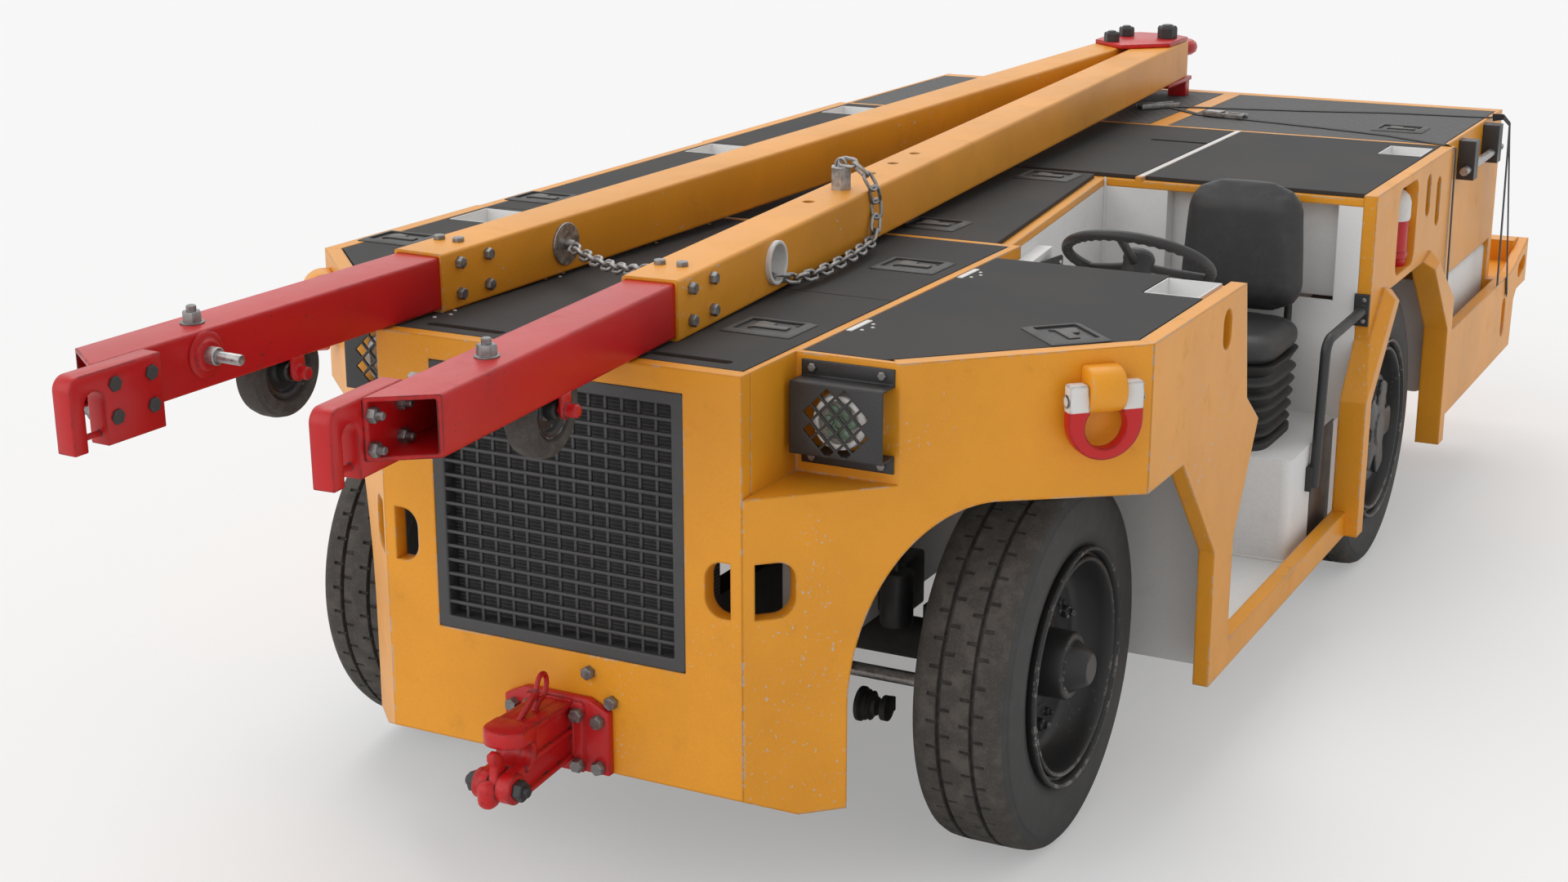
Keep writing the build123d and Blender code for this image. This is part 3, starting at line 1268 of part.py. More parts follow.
with BuildPart() as tow_tubes:
    top = TUBE_FLOOR + TUBE_SIZE
    bar_box((-TUBE_OUT_INNER, TUBE_IN), (TUBE_FLOOR, top), (-TUBE_HALF, TUBE_HALF))
    hollow = TUBE_HALF - TUBE_WALL
    bar_box(
        (-TUBE_OUT_INNER - 1, TUBE_IN + 1),
        (TUBE_FLOOR + TUBE_WALL, top - TUBE_WALL),
        (-hollow, hollow),
        Mode.SUBTRACT,
    )
    ear = (-TOW_WHEEL_OUT - 32, -TOW_WHEEL_OUT + 32)
    ear_v = (-TOW_AXLE_DROP - 28, TUBE_FLOOR)
    bar_box(ear, ear_v, (hollow, TUBE_HALF))
    bar_box(ear, ear_v, (-TUBE_HALF, -hollow))
    slot = TOW_WHEEL_R + 12
    bar_box(
        (-TOW_WHEEL_OUT - slot, -TOW_WHEEL_OUT + slot),
        (TUBE_FLOOR - 1, TUBE_FLOOR + TUBE_WALL + 1),
        (-hollow, hollow),
        Mode.SUBTRACT,
    )
    rod(
        tuple(BAR.from_local_coords(Vector(-TOW_WHEEL_OUT, -TOW_AXLE_DROP, -TUBE_HALF))),
        tuple(BAR.from_local_coords(Vector(-TOW_WHEEL_OUT, -TOW_AXLE_DROP, TUBE_HALF))),
        TOW_AXLE_R,
    )
    with BuildSketch(Plane(origin=BAR.origin, x_dir=BAR.x_dir, z_dir=BAR.y_dir)) as oblique:
        with BuildLine():
            Polyline(
                (-TUBE_OUT_OUTER, -TUBE_HALF - 1),
                (-TUBE_OUT_INNER, TUBE_HALF + 1),
                (-TUBE_OUT_INNER - 50, TUBE_HALF + 1),
                (-TUBE_OUT_INNER - 50, -TUBE_HALF - 1),
                close=True,
            )
        make_face()
    extrude(oblique.sketch, amount=2 * BAR_SIZE, both=True, mode=Mode.SUBTRACT)
    mirror(about=BAR_MIRROR)
hand_in(tow_tubes, "tow_tubes")

KEY_R = 24.0
KEY_U = 1110.0
with BuildPart() as tow_jaws:
    bar_box(
        (-JAW_TIP, -JAW_BACK),
        (JAW_BOTTOM, JAW_BOTTOM + JAW_HEIGHT),
        (-TUBE_HALF - JAW_THICK, -TUBE_HALF),
    )
    fillet(edges().filter_by(lambda e: abs(e.tangent_at(0).dot(BAR.z_dir)) > 0.99).sort_by(Axis.Y)[:1], 12)
    slot_middle = JAW_BOTTOM + JAW_HEIGHT * 0.5
    with BuildSketch(BAR.offset(-TUBE_HALF)) as key:
        with Locations((-KEY_U, slot_middle)):
            Circle(KEY_R)
        with Locations((-KEY_U, slot_middle / 2)):
            Rectangle(1.2 * KEY_R, slot_middle + 2)
    extrude(key.sketch, amount=-JAW_THICK, mode=Mode.SUBTRACT)
    mirror(about=BAR_MIRROR)
hand_in(tow_jaws, "tow_jaws")

# Head of the tow bar: top plate, under plate, support block and eye
HEAD_U = 270.0
HEAD_PLATE = 14.0
FAR = BAR.from_local_coords(Vector(BAR_LENGTH, 0, 0))
EYE_OUT = 90.0
EYE_R = 48.0
EYE_BORE_R = 22.0
EYE_WIDTH = 64.0
END_GAP = 6.0
with BuildPart() as tow_head:
    head_half = BAR_FAR_HALF + BAR_HALF
    tilt = Plane(origin=(BAR_X, FAR.Y, FAR.Z), x_dir=(1, 0, 0), z_dir=(0, -BAR_RISE, BAR_LENGTH))
    for level in (BAR_SIZE + 2 * SEAT_GAP, -HEAD_PLATE - 2 * SEAT_GAP):
        slab(
            tilt.offset(level),
            [
                (-head_half - 14, -HEAD_U),
                (head_half + 14, -HEAD_U),
                (head_half, END_GAP + 4),
                (-head_half, END_GAP + 4),
            ],
            HEAD_PLATE,
        )
    block(
        (BAR_X - head_half, BAR_X + head_half),
        (FAR.Y + END_GAP, FAR.Y + END_GAP + HEAD_PLATE),
        (FAR.Z - HEAD_PLATE, FAR.Z + BAR_SIZE + HEAD_PLATE),
    )
    block(
        (BAR_X - 60, BAR_X + 60),
        (FAR.Y - HEAD_U, FAR.Y - 60),
        (DECK_Z, FAR.Z - HEAD_PLATE / 2 - BAR_RISE * HEAD_U / BAR_LENGTH),
    )
    eye_z = FAR.Z + BAR_HALF
    eye_y = FAR.Y + EYE_OUT
    rod((BAR_X, FAR.Y + END_GAP, eye_z), (BAR_X, eye_y - EYE_BORE_R, eye_z), 0.6 * EYE_R)
    rod((BAR_X - EYE_WIDTH / 2, eye_y, eye_z), (BAR_X + EYE_WIDTH / 2, eye_y, eye_z), EYE_R)
    rod((BAR_X - EYE_WIDTH, eye_y, eye_z), (BAR_X + EYE_WIDTH, eye_y, eye_z), EYE_BORE_R, Mode.SUBTRACT)
hand_in(tow_head, "tow_head")

# Transport wheels of the tow bar
with BuildPart() as tow_wheel_left:
    half = TOW_WHEEL_WIDTH / 2
    wheel_axle = BAR.from_local_coords(Vector(-TOW_WHEEL_OUT, -TOW_AXLE_DROP, 0))
    with BuildSketch(Plane(origin=wheel_axle, x_dir=BAR.z_dir, z_dir=BAR.x_dir)) as outline:
        with BuildLine():
            Polyline(
                (-half - 10, TOW_AXLE_R + SEAT_GAP),
                (-half - 10, 22),
                (-half + 14, 26),
                (-half + 14, 60),
                (-half, 66),
                (-half, TOW_WHEEL_R - 14),
                (-half + 12, TOW_WHEEL_R),
                (half - 12, TOW_WHEEL_R),
                (half, TOW_WHEEL_R - 14),
                (half, 66),
                (half - 14, 60),
                (half - 14, 26),
                (half + 10, 22),
                (half + 10, TOW_AXLE_R + SEAT_GAP),
                close=True,
            )
        make_face()
    revolve(outline.sketch, axis=Axis(tuple(wheel_axle), tuple(BAR.z_dir)))
with BuildPart() as tow_wheel_right:
    mirror(tow_wheel_left.part, about=BAR_MIRROR)
hand_in(tow_wheel_left, "tow_wheel_left")
hand_in(tow_wheel_right, "tow_wheel_right")


# Silver rod in two black blocks on the rear left panel
ROD_Z = 1097.0
with BuildPart() as side_rod:
    rod((PANEL_X + 34, 3641, ROD_Z), (PANEL_X + 34, 4222, ROD_Z), 13)
hand_in(side_rod, "side_rod")
with BuildPart() as rod_blocks:
    for y in (3700, 4080):
        block((PANEL_X, PANEL_X + 54), (y, y + 60), (ROD_Z - 35, DECK_Z - 10))
    rod((PANEL_X + 34, 3641, ROD_Z), (PANEL_X + 34, 4222, ROD_Z), 13, Mode.SUBTRACT)
hand_in(rod_blocks, "rod_blocks")
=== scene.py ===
"""Looks of a low tow tractor with its tow bar stowed on the deck.

Metres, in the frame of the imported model: +X the driver's side, -Y the front, +Z up.
"""

import json
import math

import bmesh
import bpy
from mathutils import Matrix, Vector


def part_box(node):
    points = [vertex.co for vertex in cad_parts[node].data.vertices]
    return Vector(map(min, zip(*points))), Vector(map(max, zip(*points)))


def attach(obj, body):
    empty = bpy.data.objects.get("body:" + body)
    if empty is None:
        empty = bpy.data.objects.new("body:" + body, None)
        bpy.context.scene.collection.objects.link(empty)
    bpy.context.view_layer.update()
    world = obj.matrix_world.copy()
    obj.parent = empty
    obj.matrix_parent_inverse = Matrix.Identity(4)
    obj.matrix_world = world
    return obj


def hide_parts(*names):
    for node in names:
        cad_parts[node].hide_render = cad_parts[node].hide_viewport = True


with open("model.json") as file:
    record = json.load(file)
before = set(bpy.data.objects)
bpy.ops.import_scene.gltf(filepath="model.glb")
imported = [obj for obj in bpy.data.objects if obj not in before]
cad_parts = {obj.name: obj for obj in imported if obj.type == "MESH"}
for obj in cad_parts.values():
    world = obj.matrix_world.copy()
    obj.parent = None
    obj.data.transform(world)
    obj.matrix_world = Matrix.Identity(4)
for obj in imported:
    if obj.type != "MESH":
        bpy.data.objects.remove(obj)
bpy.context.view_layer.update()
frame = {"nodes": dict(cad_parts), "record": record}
scene = bpy.context.scene

# Places read from the frame
NOSE_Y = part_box("front_plate")[0].y
DECK_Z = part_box("deck_plates")[1].z


def place(x, y, z):
    """A point given across the body, rearward from the nose plate, and up."""
    return Vector((x, NOSE_Y + y, z))


# Camera of the photograph
CAMERA_AT = place(2.5197, -3.8301, 2.3419)
CAMERA_TURN = (math.radians(73.70), 0.0, math.radians(27.42))
CAMERA_LENS = 53.2


# Mesh tools: each shape is a list of points and a list of faces
class Mesh:
    """Points and faces of several shapes that become one joined piece."""

    def __init__(self):
        self.points = []
        self.faces = []
        self.paints = []

    def add(self, shape, matrix=None, paints=None):
        points, faces = shape
        start = len(self.points)
        turn = matrix or Matrix.Identity(4)
        self.points += [turn @ Vector(p) for p in points]
        self.faces += [[start + i for i in face] for face in faces]
        self.paints += paints or [0] * len(faces)
        return self


def stand(origin, normal, turn=0.0):
    """A matrix that stands local Z along a normal at a point."""
    upright = Vector(normal).to_track_quat("Z", "Y").to_matrix().to_4x4()
    return Matrix.Translation(origin) @ upright @ Matrix.Rotation(turn, 4, "Z")


def lathe(profile, segments=32, ring=False):
    """A profile of (radius, height) points turned about Z, capped where it is open or closed as a ring."""
    points = []
    faces = []
    rings = []
    for radius, height in profile:
        count = 1 if radius < 1e-6 else segments
        rings.append(list(range(len(points), len(points) + count)))
        for i in range(count):
            angle = 2 * math.pi * i / segments
            points.append((radius * math.cos(angle), radius * math.sin(angle), height))
    for low, high in zip(rings, rings[1:] + rings[:1] if ring else rings[1:]):
        for i in range(segments):
            j = i + 1
            face = [low[i % len(low)], low[j % len(low)], high[j % len(high)], high[i % len(high)]]
            faces.append(list(dict.fromkeys(face)))
    for end in () if ring else (rings[0], rings[-1]):
        if len(end) > 1:
            faces.append(list(end))
    return points, faces


def prism(outline, low, high):
    """An outline of (x, y) points between two heights."""
    count = len(outline)
    points = [(x, y, low) for x, y in outline] + [(x, y, high) for x, y in outline]
    faces = [list(range(count)), list(range(count, 2 * count))]
    for i in range(count):
        j = (i + 1) % count
        faces.append([i, j, count + j, count + i])
    return points, faces


def skin(rows, columns, closed):
    """Faces over rows of points that each go round, capped at both ends or closed on the first row."""
    faces = []
    for i in range(rows if closed else rows - 1):
        j = (i + 1) % rows
        for k in range(columns):
            m = (k + 1) % columns
            faces.append([i * columns + k, i * columns + m, j * columns + m, j * columns + k])
    if not closed:
        faces.append(list(range(columns)))
        faces.append(list(range((rows - 1) * columns, rows * columns)))
    return faces


def tube(path, radius, sides=10, closed=False):
    """A round bar along a path of points."""
    path = [Vector(p) for p in path]
    count = len(path)
    points = []
    normal = None
    for i, here in enumerate(path):
        before = path[i - 1] if closed or i else here
        after = path[(i + 1) % count] if closed or i < count - 1 else here
        along = (after - before).normalized()
        if normal is None:
            normal = along.orthogonal().normalized()
        normal = (normal - along * normal.dot(along)).normalized()
        side = along.cross(normal)
        for k in range(sides):
            angle = 2 * math.pi * k / sides
            points.append(here + (normal * math.cos(angle) + side * math.sin(angle)) * radius)
    return points, skin(count, sides, closed)


def edges_cut(block, edges, width, steps):
    """The points and faces of a block after its edges are bevelled."""
    bmesh.ops.bevel(
        block, geom=edges, offset=width, segments=steps, profile=0.5, affect="EDGES", clamp_overlap=True
    )
    block.verts.index_update()
    points = [tuple(v.co) for v in block.verts]
    faces = [[v.index for v in face.verts] for face in block.faces]
    block.free()
    return points, faces


def rounded_box(size, radius, steps=3):
    """A box about the origin with rounded edges."""
    block = bmesh.new()
    bmesh.ops.create_cube(block, size=1.0)
    bmesh.ops.scale(block, vec=Vector(size), verts=block.verts)
    return edges_cut(block, block.edges[:], radius, steps)


def bevelled(shape, width):
    """A shape with its edges cut off narrowly."""
    points, faces = shape
    block = bmesh.new()
    made = [block.verts.new(p) for p in points]
    for face in faces:
        block.faces.new([made[i] for i in face])
    bmesh.ops.recalc_face_normals(block, faces=block.faces)
    sharp = [e for e in block.edges if len(e.link_faces) == 2 and e.calc_face_angle() > 0.7]
    return edges_cut(block, sharp, width, 2)


SQUARE = ((-1, -1), (1, -1), (1, 1), (-1, 1))


def turns(count):
    """Angles round a full turn."""
    return [2 * math.pi * k / count for k in range(count)]


def smooth_route(points, steps=8):
    """A smooth curve through a few points."""
    points = [points[0] * 2 - points[1]] + list(points) + [points[-1] * 2 - points[-2]]
    route = []
    for a, b, c, d in zip(points, points[1:], points[2:], points[3:]):
        for k in range(steps):
            t = k / steps
            bend = b * 2 + (c - a) * t + (a * 2 - b * 5 + c * 4 - d) * t * t
            route.append((bend + (b * 3 - a - c * 3 + d) * t ** 3) / 2)
    return route + [points[-2]]


def steps_along(route, pitch):
    """Points and directions at even steps along a route."""
    walked = pitch / 2
    found = []
    for a, b in zip(route, route[1:]):
        length = (b - a).length
        while walked < length:
            found.append((a + (b - a) * (walked / length), (b - a).normalized()))
            walked += pitch
        walked -= length
    return found


def weld(path, radius):
    """A rippled bead along a straight seam."""
    start, end = path
    count = max(8, int((end - start).length / 0.006))
    along = (end - start).normalized()
    across = along.orthogonal().normalized()
    other = along.cross(across)
    points = []
    sides = 8
    for i in range(count + 1):
        ripple = radius * (0.86 + 0.14 * math.cos(math.pi * i)) * (0.5 if i in (0, count) else 1.0)
        centre = start + (end - start) * (i / count)
        for angle in turns(sides):
            points.append(centre + (across * math.cos(angle) + other * math.sin(angle)) * ripple)
    return points, skin(count + 1, sides, False)


def ribbon(path, face, width, thick):
    """A flat strap along a path, its broad side turned to a direction."""
    points = []
    for i, here in enumerate(path):
        before = path[max(i - 1, 0)]
        after = path[min(i + 1, len(path) - 1)]
        along = (after - before).normalized()
        across = along.cross(face).normalized()
        normal = across.cross(along)
        for a, b in ((1, 1), (1, -1), (-1, -1), (-1, 1)):
            points.append(here + across * (a * width / 2) + normal * (b * thick / 2))
    return points, skin(len(path), 4, False)


def ring_outline(size, radius, steps=4):
    """A rectangle about the origin with rounded corners."""
    outline = []
    for quarter in range(4):
        sx = 1 if quarter in (0, 3) else -1
        sy = 1 if quarter in (0, 1) else -1
        for k in range(steps + 1):
            angle = math.pi / 2 * (quarter + k / steps)
            x = sx * (size[0] / 2 - radius) + radius * math.cos(angle)
            outline.append((x, sy * (size[1] / 2 - radius) + radius * math.sin(angle)))
    return outline


def loft(rings, caps=False):
    """A skin over (outline, height) rings, closed at both ends or round to the first ring."""
    count = len(rings[0][0])
    points = [(x, y, height) for outline, height in rings for x, y in outline]
    return points, skin(len(rings), count, not caps)


def face_outward(data):
    """Turns the faces of a mesh outward."""
    shell = bmesh.new()
    shell.from_mesh(data)
    bmesh.ops.recalc_face_normals(shell, faces=shell.faces)
    shell.to_mesh(data)
    shell.free()


def shade(data, sharp):
    """Smooth shading, apart from edges sharper than an angle in degrees."""
    data.shade_smooth()
    data.set_sharp_from_angle(angle=math.radians(sharp))


def axes_at(origin, *ways):
    """A matrix at a point whose axes are three directions."""
    return Matrix.Translation(origin) @ Matrix(ways).transposed().to_4x4()


def piece(name, mesh, slot, materials=None, body="chassis", sharp=35.0):
    """One joined mesh riding on a body, in its slot's finish unless other materials are given."""
    data = bpy.data.meshes.new(name)
    data.from_pydata([tuple(p) for p in mesh.points], [], mesh.faces)
    for material in materials or [FINISHES[slot]]:
        data.materials.append(material)
    data.polygons.foreach_set("material_index", mesh.paints)
    face_outward(data)
    shade(data, sharp)
    made = bpy.data.objects.new(name, data)
    scene.collection.objects.link(made)
    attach(made, body)
    return made


def arc(centre, radius, start, end, steps=12):
    """Points along part of a circle, from one angle in degrees to another."""
    angles = [math.radians(start + (end - start) * k / steps) for k in range(steps + 1)]
    return [(centre[0] + radius * math.cos(a), centre[1] + radius * math.sin(a)) for a in angles]


def square_ring(size, radius, middle):
    """A rounded square about a height."""
    return [(x, y + middle) for x, y in ring_outline((size, size), radius)]


def oval_ring(half_x, half_y, power, count=48):
    """A rounded rectangle as a superellipse."""
    ring = []
    for angle in turns(count):
        c, s = math.cos(angle), math.sin(angle)
        x = math.copysign(abs(c) ** (2 / power), c) * half_x
        ring.append((x, math.copysign(abs(s) ** (2 / power), s) * half_y))
    return ring


def nut(across, height, stud_r, stud):
    """A chamfered hexagon nut and the end of its stud, standing on Z."""
    r = across / 2
    hexagon = [(r, 0.0), (r, height * 0.82), (r * 0.88, height), (stud_r, height)]
    end = [(stud_r, height), (stud_r, stud - 0.002), (stud_r * 0.75, stud), (0.0, stud)]
    return [lathe(hexagon, 6), lathe(end, 12)]


def hex_head(across, height):
    """A bolt head on Z with a chamfered crown."""
    r = across / 2
    return lathe([(r, 0.0), (r, height * 0.78), (r * 0.86, height), (0.0, height)], 6)


def rivet():
    """A flat round rivet head on Z."""
    return lathe([(0.0048, 0.0), (0.0045, 0.0012), (0.0025, 0.002), (0.0, 0.0022)], 14)


def bake(made):
    """Turns a piece's modifiers into its mesh."""
    seen = made.evaluated_get(bpy.context.evaluated_depsgraph_get())
    data = bpy.data.meshes.new_from_object(seen)
    made.modifiers.clear()
    made.data = data


def carved(made, cutters, sharp=35.0):
    """Cuts shapes out of a piece."""
    data = bpy.data.meshes.new("cutter")
    data.from_pydata([tuple(p) for p in cutters.points], [], cutters.faces)
    face_outward(data)
    tool = bpy.data.objects.new("cutter", data)
    scene.collection.objects.link(tool)
    bite = made.modifiers.new("bite", "BOOLEAN")
    bite.operation = "DIFFERENCE"
    bite.solver = "EXACT"
    bite.object = tool
    bake(made)
    bpy.data.objects.remove(tool)
    shade(made.data, sharp)


# Material tools
class Finish:
    """A material and short calls for its nodes."""

    def __init__(self, name):
        self.material = bpy.data.materials.new(name)
        self.material.use_nodes = True
        self.tree = self.material.node_tree
        self.tree.nodes.clear()
        self.shader = self.node("BsdfPrincipled")
        output = self.node("OutputMaterial")
        self.tree.links.new(self.shader.outputs["BSDF"], output.inputs["Surface"])
        self.where = self.node("TexCoord").outputs["Object"]

    def node(self, kind, inputs=None, **settings):
        made = self.tree.nodes.new("ShaderNode" + kind)
        for key, value in settings.items():
            setattr(made, key, value)
        for key, value in (inputs or {}).items():
            self.feed(made.inputs[key], value)
        return made

    def feed(self, socket, value):
        """Links a socket, or sets a plain value on it."""
        if isinstance(value, bpy.types.NodeSocket):
            self.tree.links.new(value, socket)
        else:
            socket.default_value = value

    def set(self, **inputs):
        """Values and links of the shader's own sockets, spaces written as underscores."""
        for key, value in inputs.items():
            self.feed(self.shader.inputs[key.replace("_", " ")], value)

    def noise(self, scale, detail=4.0, rough=0.55, where=None):
        inputs = {"Vector": where or self.where, "Scale": scale, "Detail": detail, "Roughness": rough}
        return self.node("TexNoise", inputs).outputs[0]

    def stretched(self, scale, turn=(0, 0, 0)):
        inputs = {"Vector": self.where, "Scale": scale, "Rotation": turn}
        return self.node("Mapping", inputs).outputs["Vector"]

    def maths(self, operation, a, b=0.0):
        made = self.node("Math", {0: a, 1: b}, operation=operation)
        return made.outputs["Value"]

    def between(self, value, low, high, start=0.0, end=1.0):
        """A smooth step of a value from one level to another."""
        inputs = {"Value": value, "From Min": low, "From Max": high, "To Min": start, "To Max": end}
        return self.node("MapRange", inputs, interpolation_type="SMOOTHSTEP").outputs["Result"]

    def mix(self, factor, a, b, blend="MIX"):
        made = self.node("Mix", data_type="RGBA", blend_type=blend)
        self.feed(made.inputs[0], factor)
        self.feed(made.inputs[6], a)
        self.feed(made.inputs[7], b)
        return made.outputs[2]

    def soft_edge(self, radius):
        """The surface's normal as if its edges were rounded."""
        return self.node("Bevel", {"Radius": radius}, samples=4).outputs["Normal"]

    def edge_wear(self, rounded):
        """High at outer and inner edges, low on open faces."""
        flat = self.node("NewGeometry").outputs["Normal"]
        dot = self.node("VectorMath", {0: rounded, 1: flat}, operation="DOT_PRODUCT").outputs["Value"]
        return self.between(dot, 0.995, 0.84)

    def bump(self, height, strength, distance, normal=None):
        inputs = {"Height": height, "Strength": strength, "Distance": distance}
        if normal:
            inputs["Normal"] = normal
        return self.node("Bump", inputs).outputs["Normal"]

    def inside(self, low, high, blur):
        """One inside a box of the frame, fading to nought over a short blur."""
        mask = 1.0
        parts = self.node("SeparateXYZ", {"Vector": self.where}).outputs
        for part, start, end in zip(parts, low, high):
            mask = self.maths("MULTIPLY", self.between(part, start - blur, start + blur), mask)
            mask = self.maths("MULTIPLY", self.between(part, end + blur, end - blur), mask)
        return mask


def tint(colour, amount):
    """A colour made lighter or darker."""
    return tuple(min(1.0, c * amount) for c in colour[:3]) + (1.0,)


def chipped_paint(name, paint, chip, roughness, peel_scale, peel, wear, scratch, patch=None):
    """Paint with an orange-peel skin, grime, chipped edges, scratches and a patch of other paint."""
    f = Finish(name)
    rounded = f.soft_edge(0.009)
    tone = f.noise(2.2, 5.0)
    grime = f.noise(11.0, 9.0, 0.65)
    speck = f.noise(520.0, 2.0)
    colour = f.mix(f.between(tone, 0.3, 0.7), tint(paint, 0.9), tint(paint, 1.07))
    colour = f.mix(f.between(grime, 0.56, 0.78, 0.0, 0.35), colour, tint(paint, 0.55))
    colour = f.mix(f.between(speck, 0.35, 0.7, 0.0, 0.3), colour, tint(paint, 0.72))
    if patch:
        low, high, other = patch
        ragged = f.maths("MULTIPLY", f.inside(low, high, 0.0015), f.between(grime, 0.68, 0.6))
        colour = f.mix(ragged, colour, other)
    torn = f.noise(44.0, 9.0, 0.72)
    edge = f.edge_wear(rounded)
    torn = f.maths("ADD", torn, f.between(f.noise(5.5, 4.0), 0.3, 0.7, -0.1, 0.12))
    edge_chip = f.between(f.maths("ADD", f.maths("MULTIPLY", edge, wear), torn), 0.9, 0.93)
    cluster = f.between(f.noise(3.1, 3.0), 0.53, 0.66)
    strokes = f.noise(1.0, 6.0, 0.6, f.stretched((160.0, 46.0, 90.0), (0.4, 0.2, 0.7)))
    flakes = f.between(strokes, 0.635, 0.665)
    scratches = f.maths("MULTIPLY", f.maths("MULTIPLY", cluster, flakes), scratch)
    worn = f.maths("MAXIMUM", edge_chip, scratches)
    chip_tone = f.mix(f.noise(90.0, 3.0), tint(chip, 0.6), chip)
    peel_height = f.noise(peel_scale, 3.0, 0.5)
    height = f.maths("SUBTRACT", peel_height, f.maths("MULTIPLY", worn, 0.5))
    f.set(
        Base_Color=f.mix(worn, colour, chip_tone),
        Roughness=f.between(f.maths("ADD", grime, worn), 0.3, 1.6, roughness, roughness + 0.3),
        Specular_IOR_Level=0.38,
        Normal=f.bump(height, peel, 0.0012, rounded),
    )
    return f.material


YELLOW = (0.80, 0.325, 0.017, 1.0)
RED = (0.53, 0.010, 0.012, 1.0)
PRIMER = (0.62, 0.6, 0.57, 1.0)
SOOT = (0.03, 0.026, 0.025, 1.0)


ROLLED_FROM = 3.512
DIAMOND_TURN = math.radians(32)
DIAMOND_SCALE = 95.0


def deck_coating():
    """Dark anti-skid coating, and rolled diamond plate on the rear deck."""
    f = Finish("deck_grip")
    rounded = f.soft_edge(0.004)
    low, high = place(-2.0, ROLLED_FROM, 0.0), place(2.0, 9.0, 2.0)
    rolled = f.inside(low, high, 0.001)
    grit = f.noise(760.0, 3.0)
    tone = f.noise(3.0, 6.0)
    dust = f.noise(26.0, 8.0, 0.68)
    dark = (0.034, 0.034, 0.0355, 1.0)
    brown = (0.046, 0.042, 0.039, 1.0)
    colour = f.mix(f.between(tone, 0.35, 0.68), dark, brown)
    colour = f.mix(f.between(grit, 0.4, 0.72, 0.0, 0.55), colour, (0.066, 0.065, 0.064, 1.0))
    colour = f.mix(f.between(dust, 0.62, 0.8, 0.0, 0.4), colour, (0.11, 0.105, 0.1, 1.0))
    edge = f.edge_wear(rounded)
    colour = f.mix(f.maths("MULTIPLY", edge, 0.3), colour, (0.13, 0.13, 0.13, 1.0))
    colour = f.mix(f.maths("MULTIPLY", rolled, 0.5), colour, (0.11, 0.11, 0.11, 1.0))
    waves = []
    for turn in (DIAMOND_TURN, -DIAMOND_TURN):
        turned = f.stretched((DIAMOND_SCALE,) * 3, (0, 0, turn))
        across = f.node("SeparateXYZ", {"Vector": turned}).outputs["X"]
        waves.append(f.maths("ABSOLUTE", f.maths("SINE", across)))
    lozenge = f.between(f.maths("MULTIPLY", *waves), 0.3, 0.75)
    height = f.maths("ADD", f.maths("MULTIPLY", lozenge, f.maths("MULTIPLY", rolled, 2.5)), grit)
    f.set(
        Base_Color=colour,
        Roughness=f.between(grit, 0.2, 0.8, 0.62, 0.85),
        Specular_IOR_Level=f.between(rolled, 0.0, 1.0, 0.2, 0.45),
        Normal=f.bump(height, 0.55, 0.0011, rounded),
    )
    return f.material


def plain_paint(name, paint, roughness, grain, dirt):
    """Smooth paint with fine specks, faint stains and softly worn edges."""
    f = Finish(name)
    rounded = f.soft_edge(0.005)
    speck = f.noise(330.0, 3.0)
    stain = f.noise(7.0, 9.0, 0.7)
    colour = f.mix(f.between(speck, 0.38, 0.68, 0.0, 0.5), paint, tint(paint, grain))
    colour = f.mix(f.between(stain, 0.52, 0.8, 0.0, dirt), colour, tint(paint, 0.45))
    edge = f.edge_wear(rounded)
    colour = f.mix(f.maths("MULTIPLY", edge, 0.35), colour, tint(paint, 1.5))
    f.set(
        Base_Color=colour,
        Roughness=f.between(stain, 0.3, 0.75, roughness, roughness + 0.2),
        Normal=f.bump(speck, 0.16, 0.0008, rounded),
    )
    return f.material


def bare_steel(name, colour, roughness, metallic):
    """Plated or bare steel with dull patches."""
    f = Finish(name)
    rounded = f.soft_edge(0.002)
    patch = f.noise(70.0, 6.0, 0.6)
    fine = f.noise(600.0, 2.0)
    tone = f.mix(f.between(patch, 0.35, 0.7), tint(colour, 0.62), colour)
    tone = f.mix(f.between(fine, 0.45, 0.7, 0.0, 0.4), tone, tint(colour, 0.5))
    f.set(
        Base_Color=tone,
        Metallic=metallic,
        Roughness=f.between(patch, 0.3, 0.7, roughness, roughness + 0.22),
        Normal=f.bump(fine, 0.12, 0.0005, rounded),
    )
    return f.material


def rubber(name, colour, dusty, roughness):
    """Matte rubber with pale dust in patches."""
    f = Finish(name)
    rounded = f.soft_edge(0.004)
    patch = f.noise(22.0, 8.0, 0.66)
    fine = f.noise(240.0, 4.0)
    tone = f.mix(f.between(patch, 0.4, 0.72), colour, dusty)
    tone = f.mix(f.between(fine, 0.5, 0.74, 0.0, 0.5), tone, tint(dusty, 1.35))
    f.set(
        Base_Color=tone,
        Roughness=roughness,
        Normal=f.bump(fine, 0.25, 0.0008, rounded),
    )
    return f.material


def lamp_glass():
    """Clear ribbed lamp glass."""
    f = Finish("lens")
    ripple = f.noise(180.0, 2.0)
    f.set(
        Base_Color=(0.86, 0.9, 0.88, 1.0),
        Roughness=f.between(ripple, 0.3, 0.7, 0.04, 0.16),
        Transmission_Weight=0.75,
        IOR=1.45,
        Normal=f.bump(ripple, 0.2, 0.0006),
    )
    return f.material


FIN_PITCH = 0.0082


